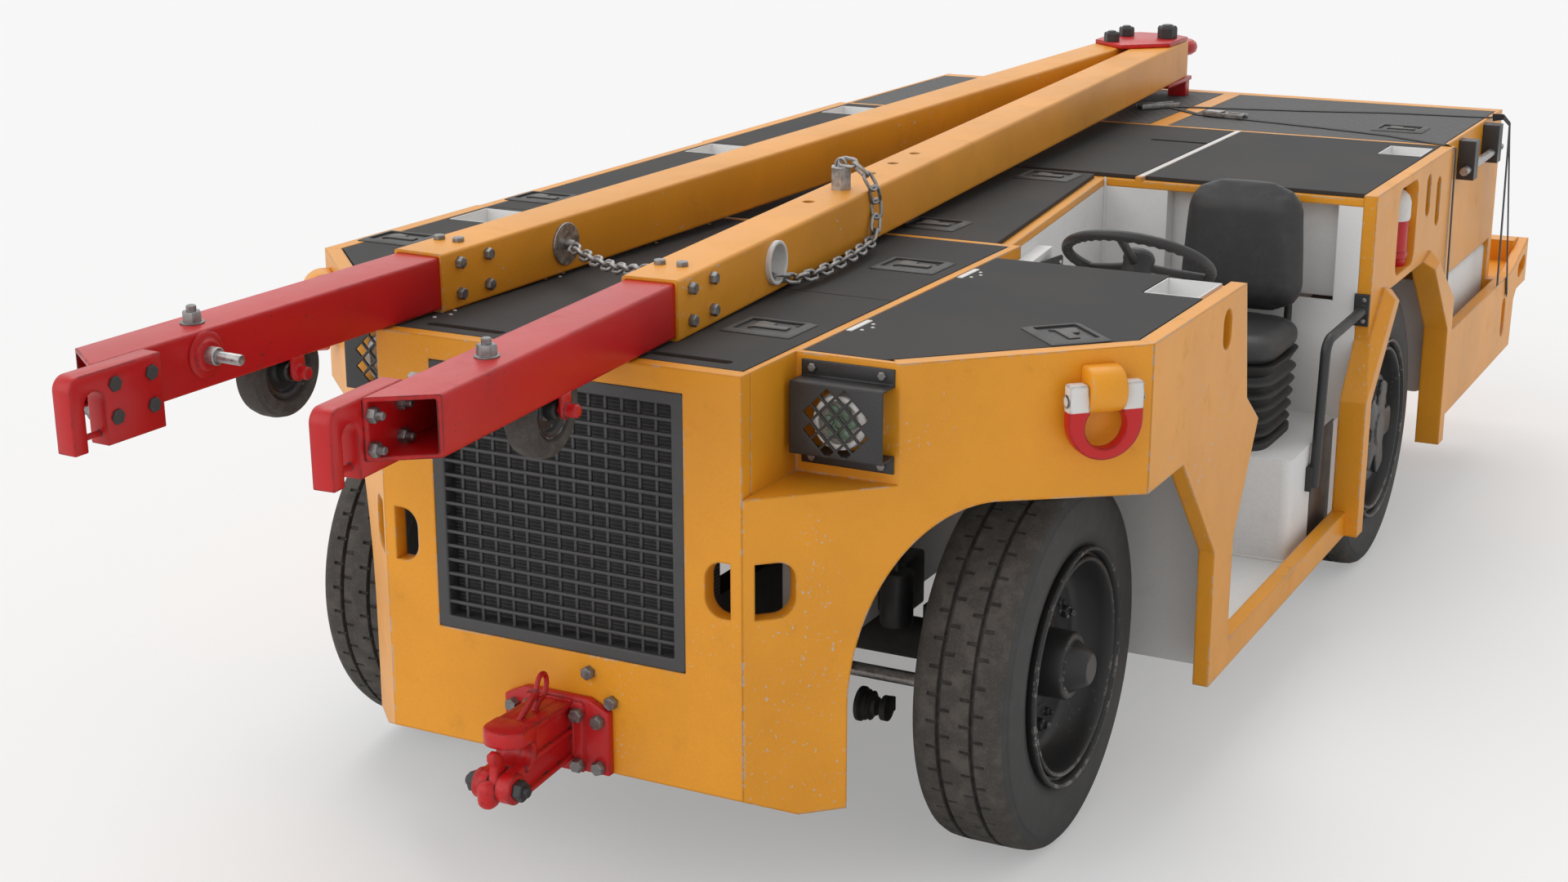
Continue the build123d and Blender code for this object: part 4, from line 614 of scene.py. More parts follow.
def radiator_fins_and_shade():
    """Dark core behind the grille with fine level fins; its colour has painted shade in the gaps between the
    fins and a painted highlight on the fins.
    """
    f = Finish("radiator_fins_and_shade")
    rise = f.node("SeparateXYZ", {"Vector": f.where}).outputs["Z"]
    wave = f.maths("SINE", f.maths("MULTIPLY", rise, 2 * math.pi / FIN_PITCH))
    fin_and_gap_shade = f.between(wave, 0.1, 0.8)
    dust = f.noise(40.0, 5.0)
    # painted shade and painted highlight: the gaps between the fins are painted near black and the fins
    # lighter
    colour = f.mix(fin_and_gap_shade, (0.012, 0.012, 0.012, 1.0), (0.068, 0.067, 0.066, 1.0))
    colour = f.mix(f.between(dust, 0.5, 0.75, 0.0, 0.4), colour, (0.03, 0.028, 0.026, 1.0))
    f.set(Base_Color=colour, Roughness=f.between(dust, 0.3, 0.7, 0.5, 0.7), Normal=f.bump(fin_and_gap_shade, 0.8, 0.003))
    return f.material


FINISHES = {
    "yellow_paint": chipped_paint("yellow_paint", YELLOW, PRIMER, 0.36, 190.0, 0.22, 0.36, 1.0),
    "red_paint": chipped_paint("red_paint", RED, SOOT, 0.3, 230.0, 0.1, 0.42, 1.0),
    "black_paint": plain_paint("black_paint", (0.021, 0.021, 0.022, 1.0), 0.36, 1.9, 0.4),
    "grey_paint": plain_paint("grey_paint", (0.79, 0.79, 0.785, 1.0), 0.5, 0.86, 0.2),
    "deck_grip": deck_coating(),
    "steel": bare_steel("steel", (0.5, 0.49, 0.48, 1.0), 0.28, 0.9),
    "cast": plain_paint("cast", (0.035, 0.034, 0.033, 1.0), 0.55, 1.6, 0.5),
    "tyre_rubber": rubber("tyre_rubber", (0.03, 0.029, 0.028, 1.0), (0.062, 0.057, 0.052, 1.0), 0.8),
    "lens": lamp_glass(),
    "seat_vinyl": rubber("seat_vinyl", (0.024, 0.024, 0.025, 1.0), (0.034, 0.034, 0.035, 1.0), 0.5),
    "bellows_rubber": rubber("bellows_rubber", (0.02, 0.02, 0.02, 1.0), (0.034, 0.033, 0.032, 1.0), 0.6),
    "black_plastic": plain_paint("black_plastic", (0.018, 0.018, 0.019, 1.0), 0.42, 1.7, 0.3),
}

TREAD = rubber("tread_rubber", (0.046, 0.041, 0.036, 1.0), (0.085, 0.076, 0.066, 1.0), 0.88)
SIDEWALL = rubber("sidewall_rubber", (0.034, 0.034, 0.034, 1.0), (0.046, 0.045, 0.044, 1.0), 0.72)
WHEEL_BLACK = chipped_paint("wheel_black", (0.024, 0.024, 0.0245, 1.0), PRIMER, 0.34, 260.0, 0.08, 0.36, 0.3)
CHAIN_STEEL = bare_steel("chain_steel", (0.42, 0.41, 0.40, 1.0), 0.34, 0.9)
WHITE_PAINT = plain_paint("white_paint", (0.78, 0.77, 0.75, 1.0), 0.45, 0.85, 0.35)
LATCH_GREY = plain_paint("latch_grey", (0.038, 0.037, 0.036, 1.0), 0.5, 1.4, 0.35)
PADDLE_GREY = plain_paint("paddle_grey", (0.088, 0.083, 0.077, 1.0), 0.5, 1.25, 0.35)
GRILLE_BLACK = plain_paint("grille_black", (0.045, 0.045, 0.0455, 1.0), 0.4, 1.4, 0.35)
BOLT_STEEL = bare_steel("bolt_steel", (0.3, 0.295, 0.29, 1.0), 0.34, 0.85)
WEBBING = rubber("webbing", (0.022, 0.022, 0.023, 1.0), (0.036, 0.036, 0.037, 1.0), 0.7)
LABEL_BEIGE = plain_paint("label_beige", (0.52, 0.48, 0.38, 1.0), 0.5, 0.85, 0.2)
LABEL_GREEN = plain_paint("label_green", (0.34, 0.38, 0.19, 1.0), 0.5, 0.8, 0.2)
LABEL_BROWN = plain_paint("label_brown", (0.055, 0.043, 0.035, 1.0), 0.42, 1.35, 0.3)
CELL_GLASS = plain_paint("lamp_cells", (0.16, 0.24, 0.17, 1.0), 0.14, 1.3, 0.2)

shackle_low, shackle_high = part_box("shackles")
BARE_FROM = shackle_low.lerp(shackle_high, 0.71).z
SHACKLE_PATCH = (Vector((-2.0, -9.0, BARE_FROM)), Vector((2.0, 9.0, 2.0)), (0.72, 0.71, 0.69, 1.0))
SEAM_LOW = place(0.366, 2.545, DECK_Z - 0.02)
SEAM_HIGH = place(0.385, ROLLED_FROM, DECK_Z + 0.01)
SEAM_PATCH = (SEAM_LOW, SEAM_HIGH, (0.7, 0.7, 0.69, 1.0))
NODE_FINISHES = {
    "radiator_core": radiator_fins_and_shade(),
    "shackles": chipped_paint("shackle_paint", RED, SOOT, 0.3, 230.0, 0.1, 0.5, 1.0, SHACKLE_PATCH),
    "deck_frame": chipped_paint("deck_frame_paint", YELLOW, PRIMER, 0.36, 190.0, 0.22, 0.36, 1.0, SEAM_PATCH),
}

for subpart in frame["record"]["subparts"]:
    node = frame["nodes"][subpart["node"]]
    node.data.materials.clear()
    node.data.materials.append(NODE_FINISHES.get(subpart["node"], FINISHES[subpart["material_slot"]]))


# Wheels and tyres
TREAD_PITCHES = 44
TREAD_STEPS = (0.0, 0.03, 0.11, 0.14, 0.5, 0.53, 0.61, 0.64)
GROOVE_AT = 0.038
GROOVE_HALF = 0.0055
GROOVE_DEEP = 0.012
NOTCH_LONG = 0.020
NOTCH_DEEP = 0.007
TREAD_DEEP = 0.017
SIDEWALL_ROWS = [
    (0.1045, 0.024), (0.107, 0.034), (0.1086, 0.036), (0.1098, 0.046), (0.1112, 0.068),
    (0.112, 0.085), (0.1114, 0.102), (0.1098, 0.118), (0.1082, 0.121), (0.1055, 0.137),
    (0.101, 0.150), (0.097, 0.160), (0.089, 0.168),
]
SIDES = (("left", 1), ("right", -1))


def tyre_rows(radius):
    """Half of a tyre's section as (across, radius, notch turn), from the middle of the tread to the bead."""
    edge = GROOVE_AT - GROOVE_HALF
    far = GROOVE_AT + GROOVE_HALF
    floor = radius - GROOVE_DEEP
    tread = [
        (0.0, radius, 0),
        (edge - NOTCH_LONG - 0.002, radius, 0),
        (edge - NOTCH_LONG, radius, 1),
        (edge, radius, 1),
        (edge + 0.001, floor, 0),
        (far - 0.001, floor, 0),
        (far, radius, 2),
        (far + NOTCH_LONG, radius - 0.0008, 2),
        (far + NOTCH_LONG + 0.002, radius - 0.001, 0),
        (0.081, radius - 0.0025, 0),
        (0.094, radius - 0.008, 0),
        (0.101, radius - 0.016, 0),
    ]
    return tread + [(x, radius - drop, 0) for x, drop in SIDEWALL_ROWS]


def tyre_shape(radius):
    """A tyre about Z with grooves and notches, and the paint of each face: tread or sidewall."""
    half = tyre_rows(radius)
    rows = [(-x, r, turn and 3 - turn) for x, r, turn in reversed(half[1:])] + half
    columns = TREAD_PITCHES * len(TREAD_STEPS)
    points = []
    for x, r, turn in rows:
        for k in range(columns):
            pitch, step = divmod(k, len(TREAD_STEPS))
            angle = 2 * math.pi * (pitch + TREAD_STEPS[step]) / TREAD_PITCHES
            cut = (turn == 1 and step in (1, 2)) or (turn == 2 and step in (5, 6))
            deep = r - (NOTCH_DEEP if cut else 0.0)
            points.append((deep * math.cos(angle), deep * math.sin(angle), x))
    paints = []
    for here, after in zip(rows, rows[1:] + rows[:1]):
        on_tread = min(here[1], after[1]) > radius - TREAD_DEEP
        paints += [0 if on_tread else 1] * columns
    return points, skin(len(rows), columns, True), paints


FLANGE = [
    (0.232, 0.088), (0.235, 0.106), (0.239, 0.1145), (0.244, 0.117), (0.249, 0.112), (0.250, 0.100),
    (0.257, 0.100), (0.259, 0.113), (0.264, 0.1225), (0.270, 0.123), (0.273, 0.117), (0.270, 0.104),
    (0.262, 0.094), (0.247, 0.092), (0.247, -0.092), (0.262, -0.094), (0.270, -0.113),
    (0.262, -0.114), (0.232, -0.092),
]
FRONT_FACE = [
    (0.0, 0.150), (0.032, 0.150), (0.036, 0.147), (0.058, 0.112), (0.060, 0.106), (0.063, 0.106),
    (0.066, 0.108), (0.074, 0.106), (0.077, 0.101), (0.078, 0.044), (0.096, 0.040), (0.104, 0.036),
    (0.107, 0.028), (0.196, 0.026), (0.206, 0.030), (0.218, 0.042),
]
FRONT_BACK = [
    (0.215, 0.002), (0.092, 0.010), (0.090, -0.024), (0.0344, -0.024), (0.0344, 0.0362),
    (0.0, 0.0362),
]
REAR_FACE = [
    (0.0, 0.118), (0.046, 0.118), (0.052, 0.114), (0.056, 0.100), (0.150, 0.098), (0.163, 0.093),
    (0.171, 0.082), (0.174, 0.030), (0.180, 0.024), (0.203, 0.024), (0.218, 0.040),
]
REAR_BACK = [
    (0.215, 0.0), (0.122, 0.004), (0.120, -0.136), (0.0504, -0.136), (0.0504, -0.0462),
    (0.0, -0.0462),
]
STAR_ARMS = 5
STAR_TIP = 0.146
STAR_NOTCH = 0.084


def star_outline():
    """The planetary cover's outline: broad arms with hollow sides."""
    outline = []
    for k in range(STAR_ARMS * 12):
        swing = math.cos(math.pi * (k % 12 - 6) / 6)
        share = min(1.0, max(0.0, 0.72 - swing))
        radius = STAR_NOTCH + (STAR_TIP - STAR_NOTCH) * share ** 0.7
        angle = 2 * math.pi * k / (STAR_ARMS * 12)
        outline.append((radius * math.cos(angle), radius * math.sin(angle)))
    return outline


def dress_wheel(name, side):
    """A tyre with tread, and the wheel with its flanges, hub and nuts."""
    body = f"{name}_wheel"
    low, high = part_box(f"tyre_{name}")
    centre = (low + high) / 2
    axle = stand(centre, (side, 0, 0))
    tyre = Mesh()
    points, faces, paints = tyre_shape((high.z - low.z) / 2)
    tyre.add((points, faces), axle, paints)
    made = piece(f"{name}_tyre", tyre, "tyre_rubber", [TREAD, SIDEWALL], body=body, sharp=28)
    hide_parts(f"tyre_{name}")

    wheel = Mesh()
    front = name.startswith("front")
    face, back = (FRONT_FACE, FRONT_BACK) if front else (REAR_FACE, REAR_BACK)
    wheel.add(lathe(face + FLANGE + back, 96), axle)
    seat, ring, count = (0.026, 0.152, 6) if front else (0.024, 0.190, 10)
    for k in range(count):
        turn = Matrix.Rotation(2 * math.pi * k / count + 0.5, 4, "Z")
        for shape in nut(0.032, 0.018, 0.0085, 0.032):
            wheel.add(shape, axle @ turn @ Matrix.Translation((ring, 0, seat)))
        if front:
            small = turn @ Matrix.Rotation(0.33, 4, "Z") @ Matrix.Translation((ring - 0.006, 0, seat))
            for shape in nut(0.022, 0.012, 0.006, 0.022):
                wheel.add(shape, axle @ small)
    if not front:
        wheel.add(bevelled(prism(star_outline(), 0.094, 0.113), 0.004), axle)
    made = piece(f"{name}_disc", wheel, "black_paint", [WHEEL_BLACK], body=body, sharp=30)
    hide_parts(f"wheel_{name}")


# Tow bar fittings
BAR_MIDDLE = -0.165
BAR_FRONT = place(0.126, 0.185, DECK_Z)
BAR_REAR = place(-0.098, 4.221, DECK_Z + 0.070)
BAR_HALF = 0.065
TUBE_HALF = 0.0575
TUBE_TOP = 0.1225
REACH = {1: 0.0, -1: 0.040}
along_bar = (BAR_REAR - BAR_FRONT).normalized()
out_bar = Vector((along_bar.y, -along_bar.x, 0)).normalized()
up_bar = out_bar.cross(along_bar)


def mirrored(vector, side, about=0.0):
    """A point or direction on the left bar, or its mirror on the right one."""
    return vector if side > 0 else Vector((2 * about - vector.x, vector.y, vector.z))


def on_bar(u, v, w, side=1):
    """A point along, above and outward on one of the two bars."""
    return mirrored(BAR_FRONT + along_bar * u + up_bar * v + out_bar * w, side, BAR_MIDDLE)


def bar_way(u, v, w, side=1):
    """A direction given along, above and outward on one of the bars."""
    return mirrored(along_bar * u + up_bar * v + out_bar * w, side)


def bar_frame(side, order):
    """A matrix at the start of a bar whose axes are three of its own directions."""
    ways = {"u": (1, 0, 0), "v": (0, 1, 0), "w": (0, 0, 1)}
    return axes_at(on_bar(0, 0, 0, side), *[bar_way(*ways[letter], side) for letter in order])


BAR_LONG = 4.036
BAR_BORE = 0.1156
TOP_HOLES = (0.852, 1.243, 1.395, 1.550)
BUSH_U = 0.478
BUSH_V = 0.068
BUSH_R = 0.050
DISC_U = 0.451
BOSS_U = 1.032
BOSS_W = -0.008
BUSH = [
    (0.050, -0.131), (0.050, 0.0098), (0.0488, 0.011), (0.0432, 0.011), (0.042, 0.0095),
    (0.042, -0.131),
]
DISC = [(0.050, 0.0), (0.050, 0.0048), (0.0485, 0.006), (0.0, 0.006)]
BOSS = [(0.027, 0.0), (0.027, 0.054), (0.025, 0.056), (0.0, 0.056)]


def bar_sleeves():
    """Both square bars: holes along the left one's top, a through bush, a stowed disc and a hex boss."""
    outer = square_ring(2 * BAR_HALF, 0.006, BAR_HALF)
    inner = square_ring(BAR_BORE, 0.003, BAR_HALF)
    rings = loft([(outer, 0.0), (outer, BAR_LONG), (inner, BAR_LONG), (inner, 0.0)])
    mesh = Mesh()
    for side in (1, -1):
        mesh.add(rings, bar_frame(side, "wvu"))
    made = piece("tow_bar_sleeves", mesh, "yellow_paint")
    holes = Mesh()
    for u in TOP_HOLES:
        low = stand(on_bar(u, 2 * BAR_HALF - 0.020, -0.016), bar_way(0, 1, 0))
        holes.add(lathe([(0.014, 0.0), (0.014, 0.040)], 28), low)
    across = stand(on_bar(BUSH_U, BUSH_V, -0.1), bar_way(0, 0, 1))
    holes.add(lathe([(BUSH_R, 0.0), (BUSH_R, 0.2)], 48), across)
    carved(made, holes)
    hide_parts("tow_bars")
    bush = Mesh().add(lathe(BUSH, 48, ring=True), stand(on_bar(BUSH_U, BUSH_V, BAR_HALF), bar_way(0, 0, 1)))
    piece("bar_bush", bush, "grey_paint", [WHITE_PAINT])
    bright = Mesh()
    bright.add(lathe(DISC, 48), stand(on_bar(DISC_U, BUSH_V, -BAR_HALF, -1), bar_way(0, 0, -1, -1)))
    bright.add(lathe(BOSS, 6), stand(on_bar(BOSS_U, 2 * BAR_HALF, BOSS_W), bar_way(0, 1, 0), 0.9))
    piece("bar_fittings", bright, "steel", sharp=20)


TUBE_FLOOR = 0.0075
TUBE_BACK = 0.300
TUBE_SHORT = 0.884
TUBE_LONG = 0.958
TUBE_BORE = 0.099
TOW_AXLE = (-0.456, -0.022)
WHEEL_SLOT = 0.112
SLOT_DEEP = 0.0095
LUG_SUNK = 0.004
LUG_R = 0.019
AXLE_END = [(0.0, -0.002), (0.0135, -0.002), (0.0135, 0.022), (0.011, 0.0255), (0.0, 0.0265)]
JAW_THICK = 0.045
JAW_LOW = -0.0215
JAW_BACK = 0.827
JAW_TIP = 1.050
JAW_ROUND = 0.028
KEY_U = 0.994
KEY_R = 0.024
KEY_MOUTH = 0.0235
KEY_RISE = 0.084
PIN_U = 0.669
PIN_V = 0.074
FLANGE_PLATE = [
    (0.046, 0.0), (0.046, 0.004), (0.044, 0.005), (0.032, 0.005), (0.030, 0.0115), (0.028, 0.013),
    (0.0, 0.013),
]
FLANGE_PIN = [
    (0.018, 0.012), (0.018, 0.032), (0.0165, 0.034), (0.011, 0.034), (0.011, 0.089), (0.009, 0.092),
    (0.0, 0.092),
]


def jaw_outline(reach):
    """A jaw plate along and up a bar: rounded nose and a keyhole open below."""
    key = (-KEY_U - reach, JAW_LOW + KEY_RISE)
    lean = math.degrees(math.asin(KEY_MOUTH / KEY_R))
    tip = -JAW_TIP - reach
    outline = [(-JAW_BACK - reach, JAW_LOW), (key[0] + KEY_MOUTH, JAW_LOW)]
    outline += arc(key, KEY_R, lean - 90, 270 - lean, 24)
    outline += [(key[0] - KEY_MOUTH, JAW_LOW), (tip, JAW_LOW)]
    outline += arc((tip + JAW_ROUND, TUBE_TOP - JAW_ROUND), JAW_ROUND, 180, 90)
    return outline + [(-JAW_BACK - reach, TUBE_TOP)]


def tube_ends():
    """Both sliding tubes with wheel lugs and pin flanges, and the jaw plates at their slanting ends."""
    red = Mesh()
    slots = Mesh()
    jaws = Mesh()
    pins = Mesh()
    middle = TUBE_FLOOR + TUBE_HALF
    outer = square_ring(2 * TUBE_HALF, 0.005, middle)
    inner = square_ring(TUBE_BORE, 0.003, middle)
    axle_u = TOW_AXLE[0]
    lug = arc(TOW_AXLE, LUG_R, 180, 360)
    lug += [(axle_u + a * LUG_R, TUBE_FLOOR + LUG_SUNK) for a in (1, -1)]
    slot = [(axle_u + a * WHEEL_SLOT, TUBE_FLOOR + b * SLOT_DEEP) for a, b in SQUARE]
    for side in (1, -1):
        reach = REACH[side]
        run = bar_frame(side, "wvu")
        flat = bar_frame(side, "uvw")
        points, faces = loft([(outer, 0.0), (outer, 1.0), (inner, 1.0), (inner, 0.0)])
        slope = (TUBE_LONG - TUBE_SHORT) / (2 * TUBE_HALF)
        slanted = []
        for x, y, z in points:
            front = -TUBE_SHORT - reach - slope * (TUBE_HALF - x)
            slanted.append((x, y, TUBE_BACK if z else front))
        red.add((slanted, faces), run)
        slots.add(prism(slot, -TUBE_BORE / 2, TUBE_BORE / 2), flat)
        jaws.add(bevelled(prism(jaw_outline(reach), -TUBE_HALF - JAW_THICK, -TUBE_HALF), 0.003), flat)
        bar_v = JAW_LOW + 0.022
        bar_w = -TUBE_HALF - JAW_THICK / 2
        ends = [on_bar(-KEY_U - reach + a * KEY_R, bar_v, bar_w, side) for a in (-1, 1)]
        jaws.add(tube(ends, 0.006, 16))
        boss = stand(on_bar(-PIN_U - reach, PIN_V, -TUBE_HALF, side), bar_way(0, 0, -1, side))
        jaws.add(lathe(FLANGE_PLATE, 48), boss)
        pins.add(lathe(FLANGE_PIN, 32), boss)
        for face in (1, -1):
            wall = sorted((face * TUBE_BORE / 2, face * TUBE_HALF))
            jaws.add(bevelled(prism(lug, *wall), 0.0015), flat)
            end = stand(on_bar(*TOW_AXLE, face * TUBE_HALF, side), bar_way(0, 0, face, side))
            jaws.add(lathe(AXLE_END, 28), end)
        jaws.add(tube([on_bar(*TOW_AXLE, a * TUBE_HALF, side) for a in (-1, 1)], 0.0095, 16))
    made = piece("sliding_tubes", red, "red_paint")
    carved(made, slots)
    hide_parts("tow_tubes")
    made = piece("jaw_plates", jaws, "red_paint")
    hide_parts("tow_jaws")
    piece("tube_pins", pins, "steel")


HEAD_THICK = 0.014
HEAD_LEVEL = 0.1306
HEAD_TOP_PLATE = [
    (0.0, -0.330), (0.137, -0.215), (0.137, -0.020), (0.060, 0.040), (-0.060, 0.040),
    (-0.137, -0.020), (-0.137, -0.215),
]
HEAD_UNDER_PLATE = [(-0.137, -0.215), (0.137, -0.215), (0.137, 0.046), (-0.137, 0.046)]
HEAD_NUTS = [(-0.068, -0.241, 0.054, 0.032), (-0.069, -0.082, 0.054, 0.032), (0.082, -0.083, 0.069, 0.043)]
EYE_AT = (0.200, 0.080)
EYE_RING = [
    (0.050, -0.018), (0.057, -0.025), (0.083, -0.025), (0.096, -0.015), (0.100, 0.0),
    (0.096, 0.015), (0.083, 0.025), (0.057, 0.025), (0.050, 0.018),
]


def bar_head():
    """Head of the tow bar: pointed top plate, under plate on legs, end plate, lunette eye and nuts."""
    far = on_bar(BAR_LONG, 0, 0)
    far.x = BAR_MIDDLE
    lie = Matrix.Translation(far) @ Matrix.Rotation(math.atan2(along_bar.z, along_bar.y), 4, "X")
    red = Mesh()
    red.add(bevelled(prism(HEAD_TOP_PLATE, HEAD_LEVEL, HEAD_LEVEL + HEAD_THICK), 0.0015), lie)
    red.add(bevelled(prism(HEAD_UNDER_PLATE, -HEAD_THICK - 0.0006, -0.0006), 0.0015), lie)
    red.add(rounded_box((0.120, HEAD_THICK, 0.142), 0.0015), lie @ Matrix.Translation((0, 0.013, 0.066)))
    for side in (1, -1):
        leg = far.z - 0.008 - DECK_Z
        foot = (far.x + side * 0.0975, far.y + 0.022, DECK_Z + leg / 2)
        red.add(rounded_box((0.065, 0.044, leg), 0.002), Matrix.Translation(foot))
    eye = far + Vector((0, *EYE_AT))
    red.add(lathe(EYE_RING, 56, ring=True), Matrix.Translation(eye))
    shank = [far + Vector((0, y, EYE_AT[1])) for y in (0.018, EYE_AT[0] - 0.056)]
    red.add(tube(shank, 0.022, 28))
    made = piece("bar_head", red, "red_paint")
    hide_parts("tow_head")
    black = Mesh()
    for x, y, across, height in HEAD_NUTS:
        at = lie @ Matrix.Translation((x, y, HEAD_LEVEL + HEAD_THICK)) @ Matrix.Rotation(0.26, 4, "Z")
        for shape in nut(across, height, 0.28 * across, height + 0.005):
            black.add(shape, at)
    piece("head_nuts", black, "black_paint", sharp=20)


TYRE_SECTION = [
    (0.058, -0.018), (0.066, -0.030), (0.086, -0.032), (0.096, -0.024), (0.0995, -0.010),
    (0.0995, 0.010), (0.096, 0.024), (0.086, 0.032), (0.066, 0.030), (0.058, 0.018),
]
RIM_SECTION = [
    (0.0104, 0.041), (0.021, 0.041), (0.0225, 0.038), (0.0235, 0.014), (0.030, 0.011),
    (0.044, 0.013), (0.048, 0.021), (0.052, 0.024), (0.060, 0.026),
]


def bar_wheels():
    """Small transport wheels: rounded rubber tyre on a ringed hub."""
    for name, side in SIDES:
        axle = stand(on_bar(*TOW_AXLE, 0, side), bar_way(0, 0, 1, side))
        mesh = Mesh()
        rubber_ring = lathe(TYRE_SECTION, 72, ring=True)
        mesh.add(rubber_ring, axle, [0] * len(rubber_ring[1]))
        back = [(r, -z) for r, z in reversed(RIM_SECTION)]
        hub = lathe(RIM_SECTION + back, 56, ring=True)
        mesh.add(hub, axle, [1] * len(hub[1]))
        made = piece(f"bar_wheel_{name}", mesh, "tyre_rubber", [TREAD, WHEEL_BLACK], body=f"tow_wheel_{name}")
        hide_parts(f"tow_wheel_{name}")


WASHER = [(0.024, 0), (0.024, 0.003), (0.022, 0.004), (0.0, 0.004)]


def bar_bolts():
    """Bolt heads of both sleeves, the jaw plates and the nuts on the tubes."""
    steel = Mesh()
    dark = Mesh()
    for side in (1, -1):
        reach = REACH[side]
        for u in (0.058, 0.158):
            for v in (0.033, 0.102):
                for face in (1, -1):
                    at = on_bar(u, v, face * BAR_HALF, side)
                    steel.add(hex_head(0.028, 0.014), stand(at, bar_way(0, 0, face, side), u * 9 + v))
        for x in (0.040, -0.013):
            at = on_bar(0.125, 2 * BAR_HALF, -side * x, side)
            steel.add(hex_head(0.028, 0.010), stand(at, bar_way(0, 1, 0, side), x))
        top = stand(on_bar(-0.640 - reach, TUBE_TOP, 0, side), bar_way(0, 1, 0, side), 0.3)
        steel.add(lathe(WASHER, 32), top)
        for shape in nut(0.040, 0.020, 0.010, 0.032):
            steel.add(shape, top @ Matrix.Translation((0, 0, 0.004)))
        for u in (-0.944, -0.854):
            for v in (0.028, 0.090):
                out = stand(on_bar(u - reach, v, -TUBE_HALF - JAW_THICK, side), bar_way(0, 0, -1, side), u)
                dark.add(hex_head(0.030, 0.006), out)
                inside = stand(on_bar(u - reach, v, 0.008 - TUBE_HALF, side), bar_way(0, 0, 1, side), v)
                for shape in nut(0.030, 0.015, 0.008, 0.028):
                    steel.add(shape, inside)
    piece("bar_bolts", steel, "steel", [BOLT_STEEL])
    piece("jaw_bolts", dark, "cast")


LINK_LONG = 0.056
LINK_WIDE = 0.033
LINK_WIRE = 0.0046


def link_path():
    """The centre line of one chain link, long along X."""
    half = LINK_WIDE / 2 - LINK_WIRE
    straight = LINK_LONG / 2 - LINK_WIRE - half
    path = []
    for end in (1, -1):
        for k in range(7):
            angle = math.pi * (k / 6 - 0.5)
            x = end * (straight + half * math.cos(angle))
            path.append(Vector((x, end * half * math.sin(angle), 0)))
    return path


def chain(mesh, route):
    """Links laid end to end along a route, every other one turned on edge."""
    pitch = LINK_LONG - 4 * LINK_WIRE
    link = tube(link_path(), LINK_WIRE, 8, closed=True)
    for k, (here, along) in enumerate(steps_along(route, pitch)):
        lie = along.to_track_quat("X", "Z").to_matrix().to_4x4()
        roll = Matrix.Rotation(math.pi / 4 + k * math.pi / 2, 4, "X")
        mesh.add(link, Matrix.Translation(here) @ lie @ roll)


BOSS_CHAIN = [
    (1.028, 0.190, 0.030), (1.030, 0.150, 0.072), (1.050, 0.080, 0.078), (1.010, 0.022, 0.086),
    (0.930, 0.014, 0.096), (0.800, 0.014, 0.106), (0.660, 0.014, 0.104), (0.560, 0.018, 0.092),
    (0.490, 0.030, 0.070), (0.478, 0.032, 0.030),
]


def bar_chains():
    """Two safety chains: disc to left bar, and hex boss to bush."""
    chains = Mesh()
    disc = on_bar(DISC_U, BUSH_V, -BAR_HALF - 0.006, -1)
    anchor = on_bar(0.118, 0.116, -BAR_HALF, 1)
    sag = Vector((0, 0, -0.020))
    hang = [disc + (anchor - disc) * t + sag * 4 * t * (1 - t) for t in (0.06, 0.25, 0.5, 0.75, 1.0)]
    chain(chains, smooth_route(hang))
    stud = [(0.012, 0), (0.011, 0.016), (0.007, 0.02), (0, 0.02)]
    chains.add(lathe(stud, 16), stand(disc, bar_way(0, 0, -1, -1)))
    boss = on_bar(BOSS_U, 0.186, BOSS_W)
    drop = [boss + Vector((0, 0, 0.012))] + [on_bar(*point) for point in BOSS_CHAIN]
    chain(chains, smooth_route(drop))
    ring = [boss + Vector((0.014 * math.cos(a), 0, 0.004 + 0.014 * math.sin(a))) for a in turns(16)]
    chains.add(tube(ring, 0.004, 8, closed=True))
    piece("bar_chains", chains, "steel", [CHAIN_STEEL])


# Nose, hitch and lamps
NECK_TOP = 0.452
NECK_LOW = 0.324
NECK_HALF = 0.046
NECK_BACK = -0.020
RIB_TALL = 0.012
CORE_HALF = 0.039
FORK_GAP = 0.0115
THROAT = (-0.200, 0.397)
THROAT_R = 0.025
CROSS = (-0.241, 0.337)
LOBE_R = 0.032
MOUNT = [(-0.129, 0.294), (0.129, 0.294), (0.129, 0.436), (0.079, 0.460), (-0.079, 0.460), (-0.129, 0.436)]
DOUBLER = [(-0.070, 0.294), (0.070, 0.294), (0.070, 0.452), (-0.070, 0.452)]
HOOK = [
    (-0.021, -0.029), (-0.031, -0.007), (-0.021, 0.023), (-0.016, 0.048), (-0.025, 0.061),
    (-0.025, 0.076), (-0.005, 0.079), (0.007, 0.063), (0.015, 0.035), (0.021, 0.007),
    (0.015, -0.023),
]
FRONT_LEG = [(-0.172, -0.006), (-0.156, -0.006), (-0.086, 0.032), (-0.092, 0.044)]
REAR_LEG = [(-0.112, -0.006), (-0.098, -0.006), (-0.072, 0.020), (-0.084, 0.024)]
RING_AT = (-0.072, 0.494)


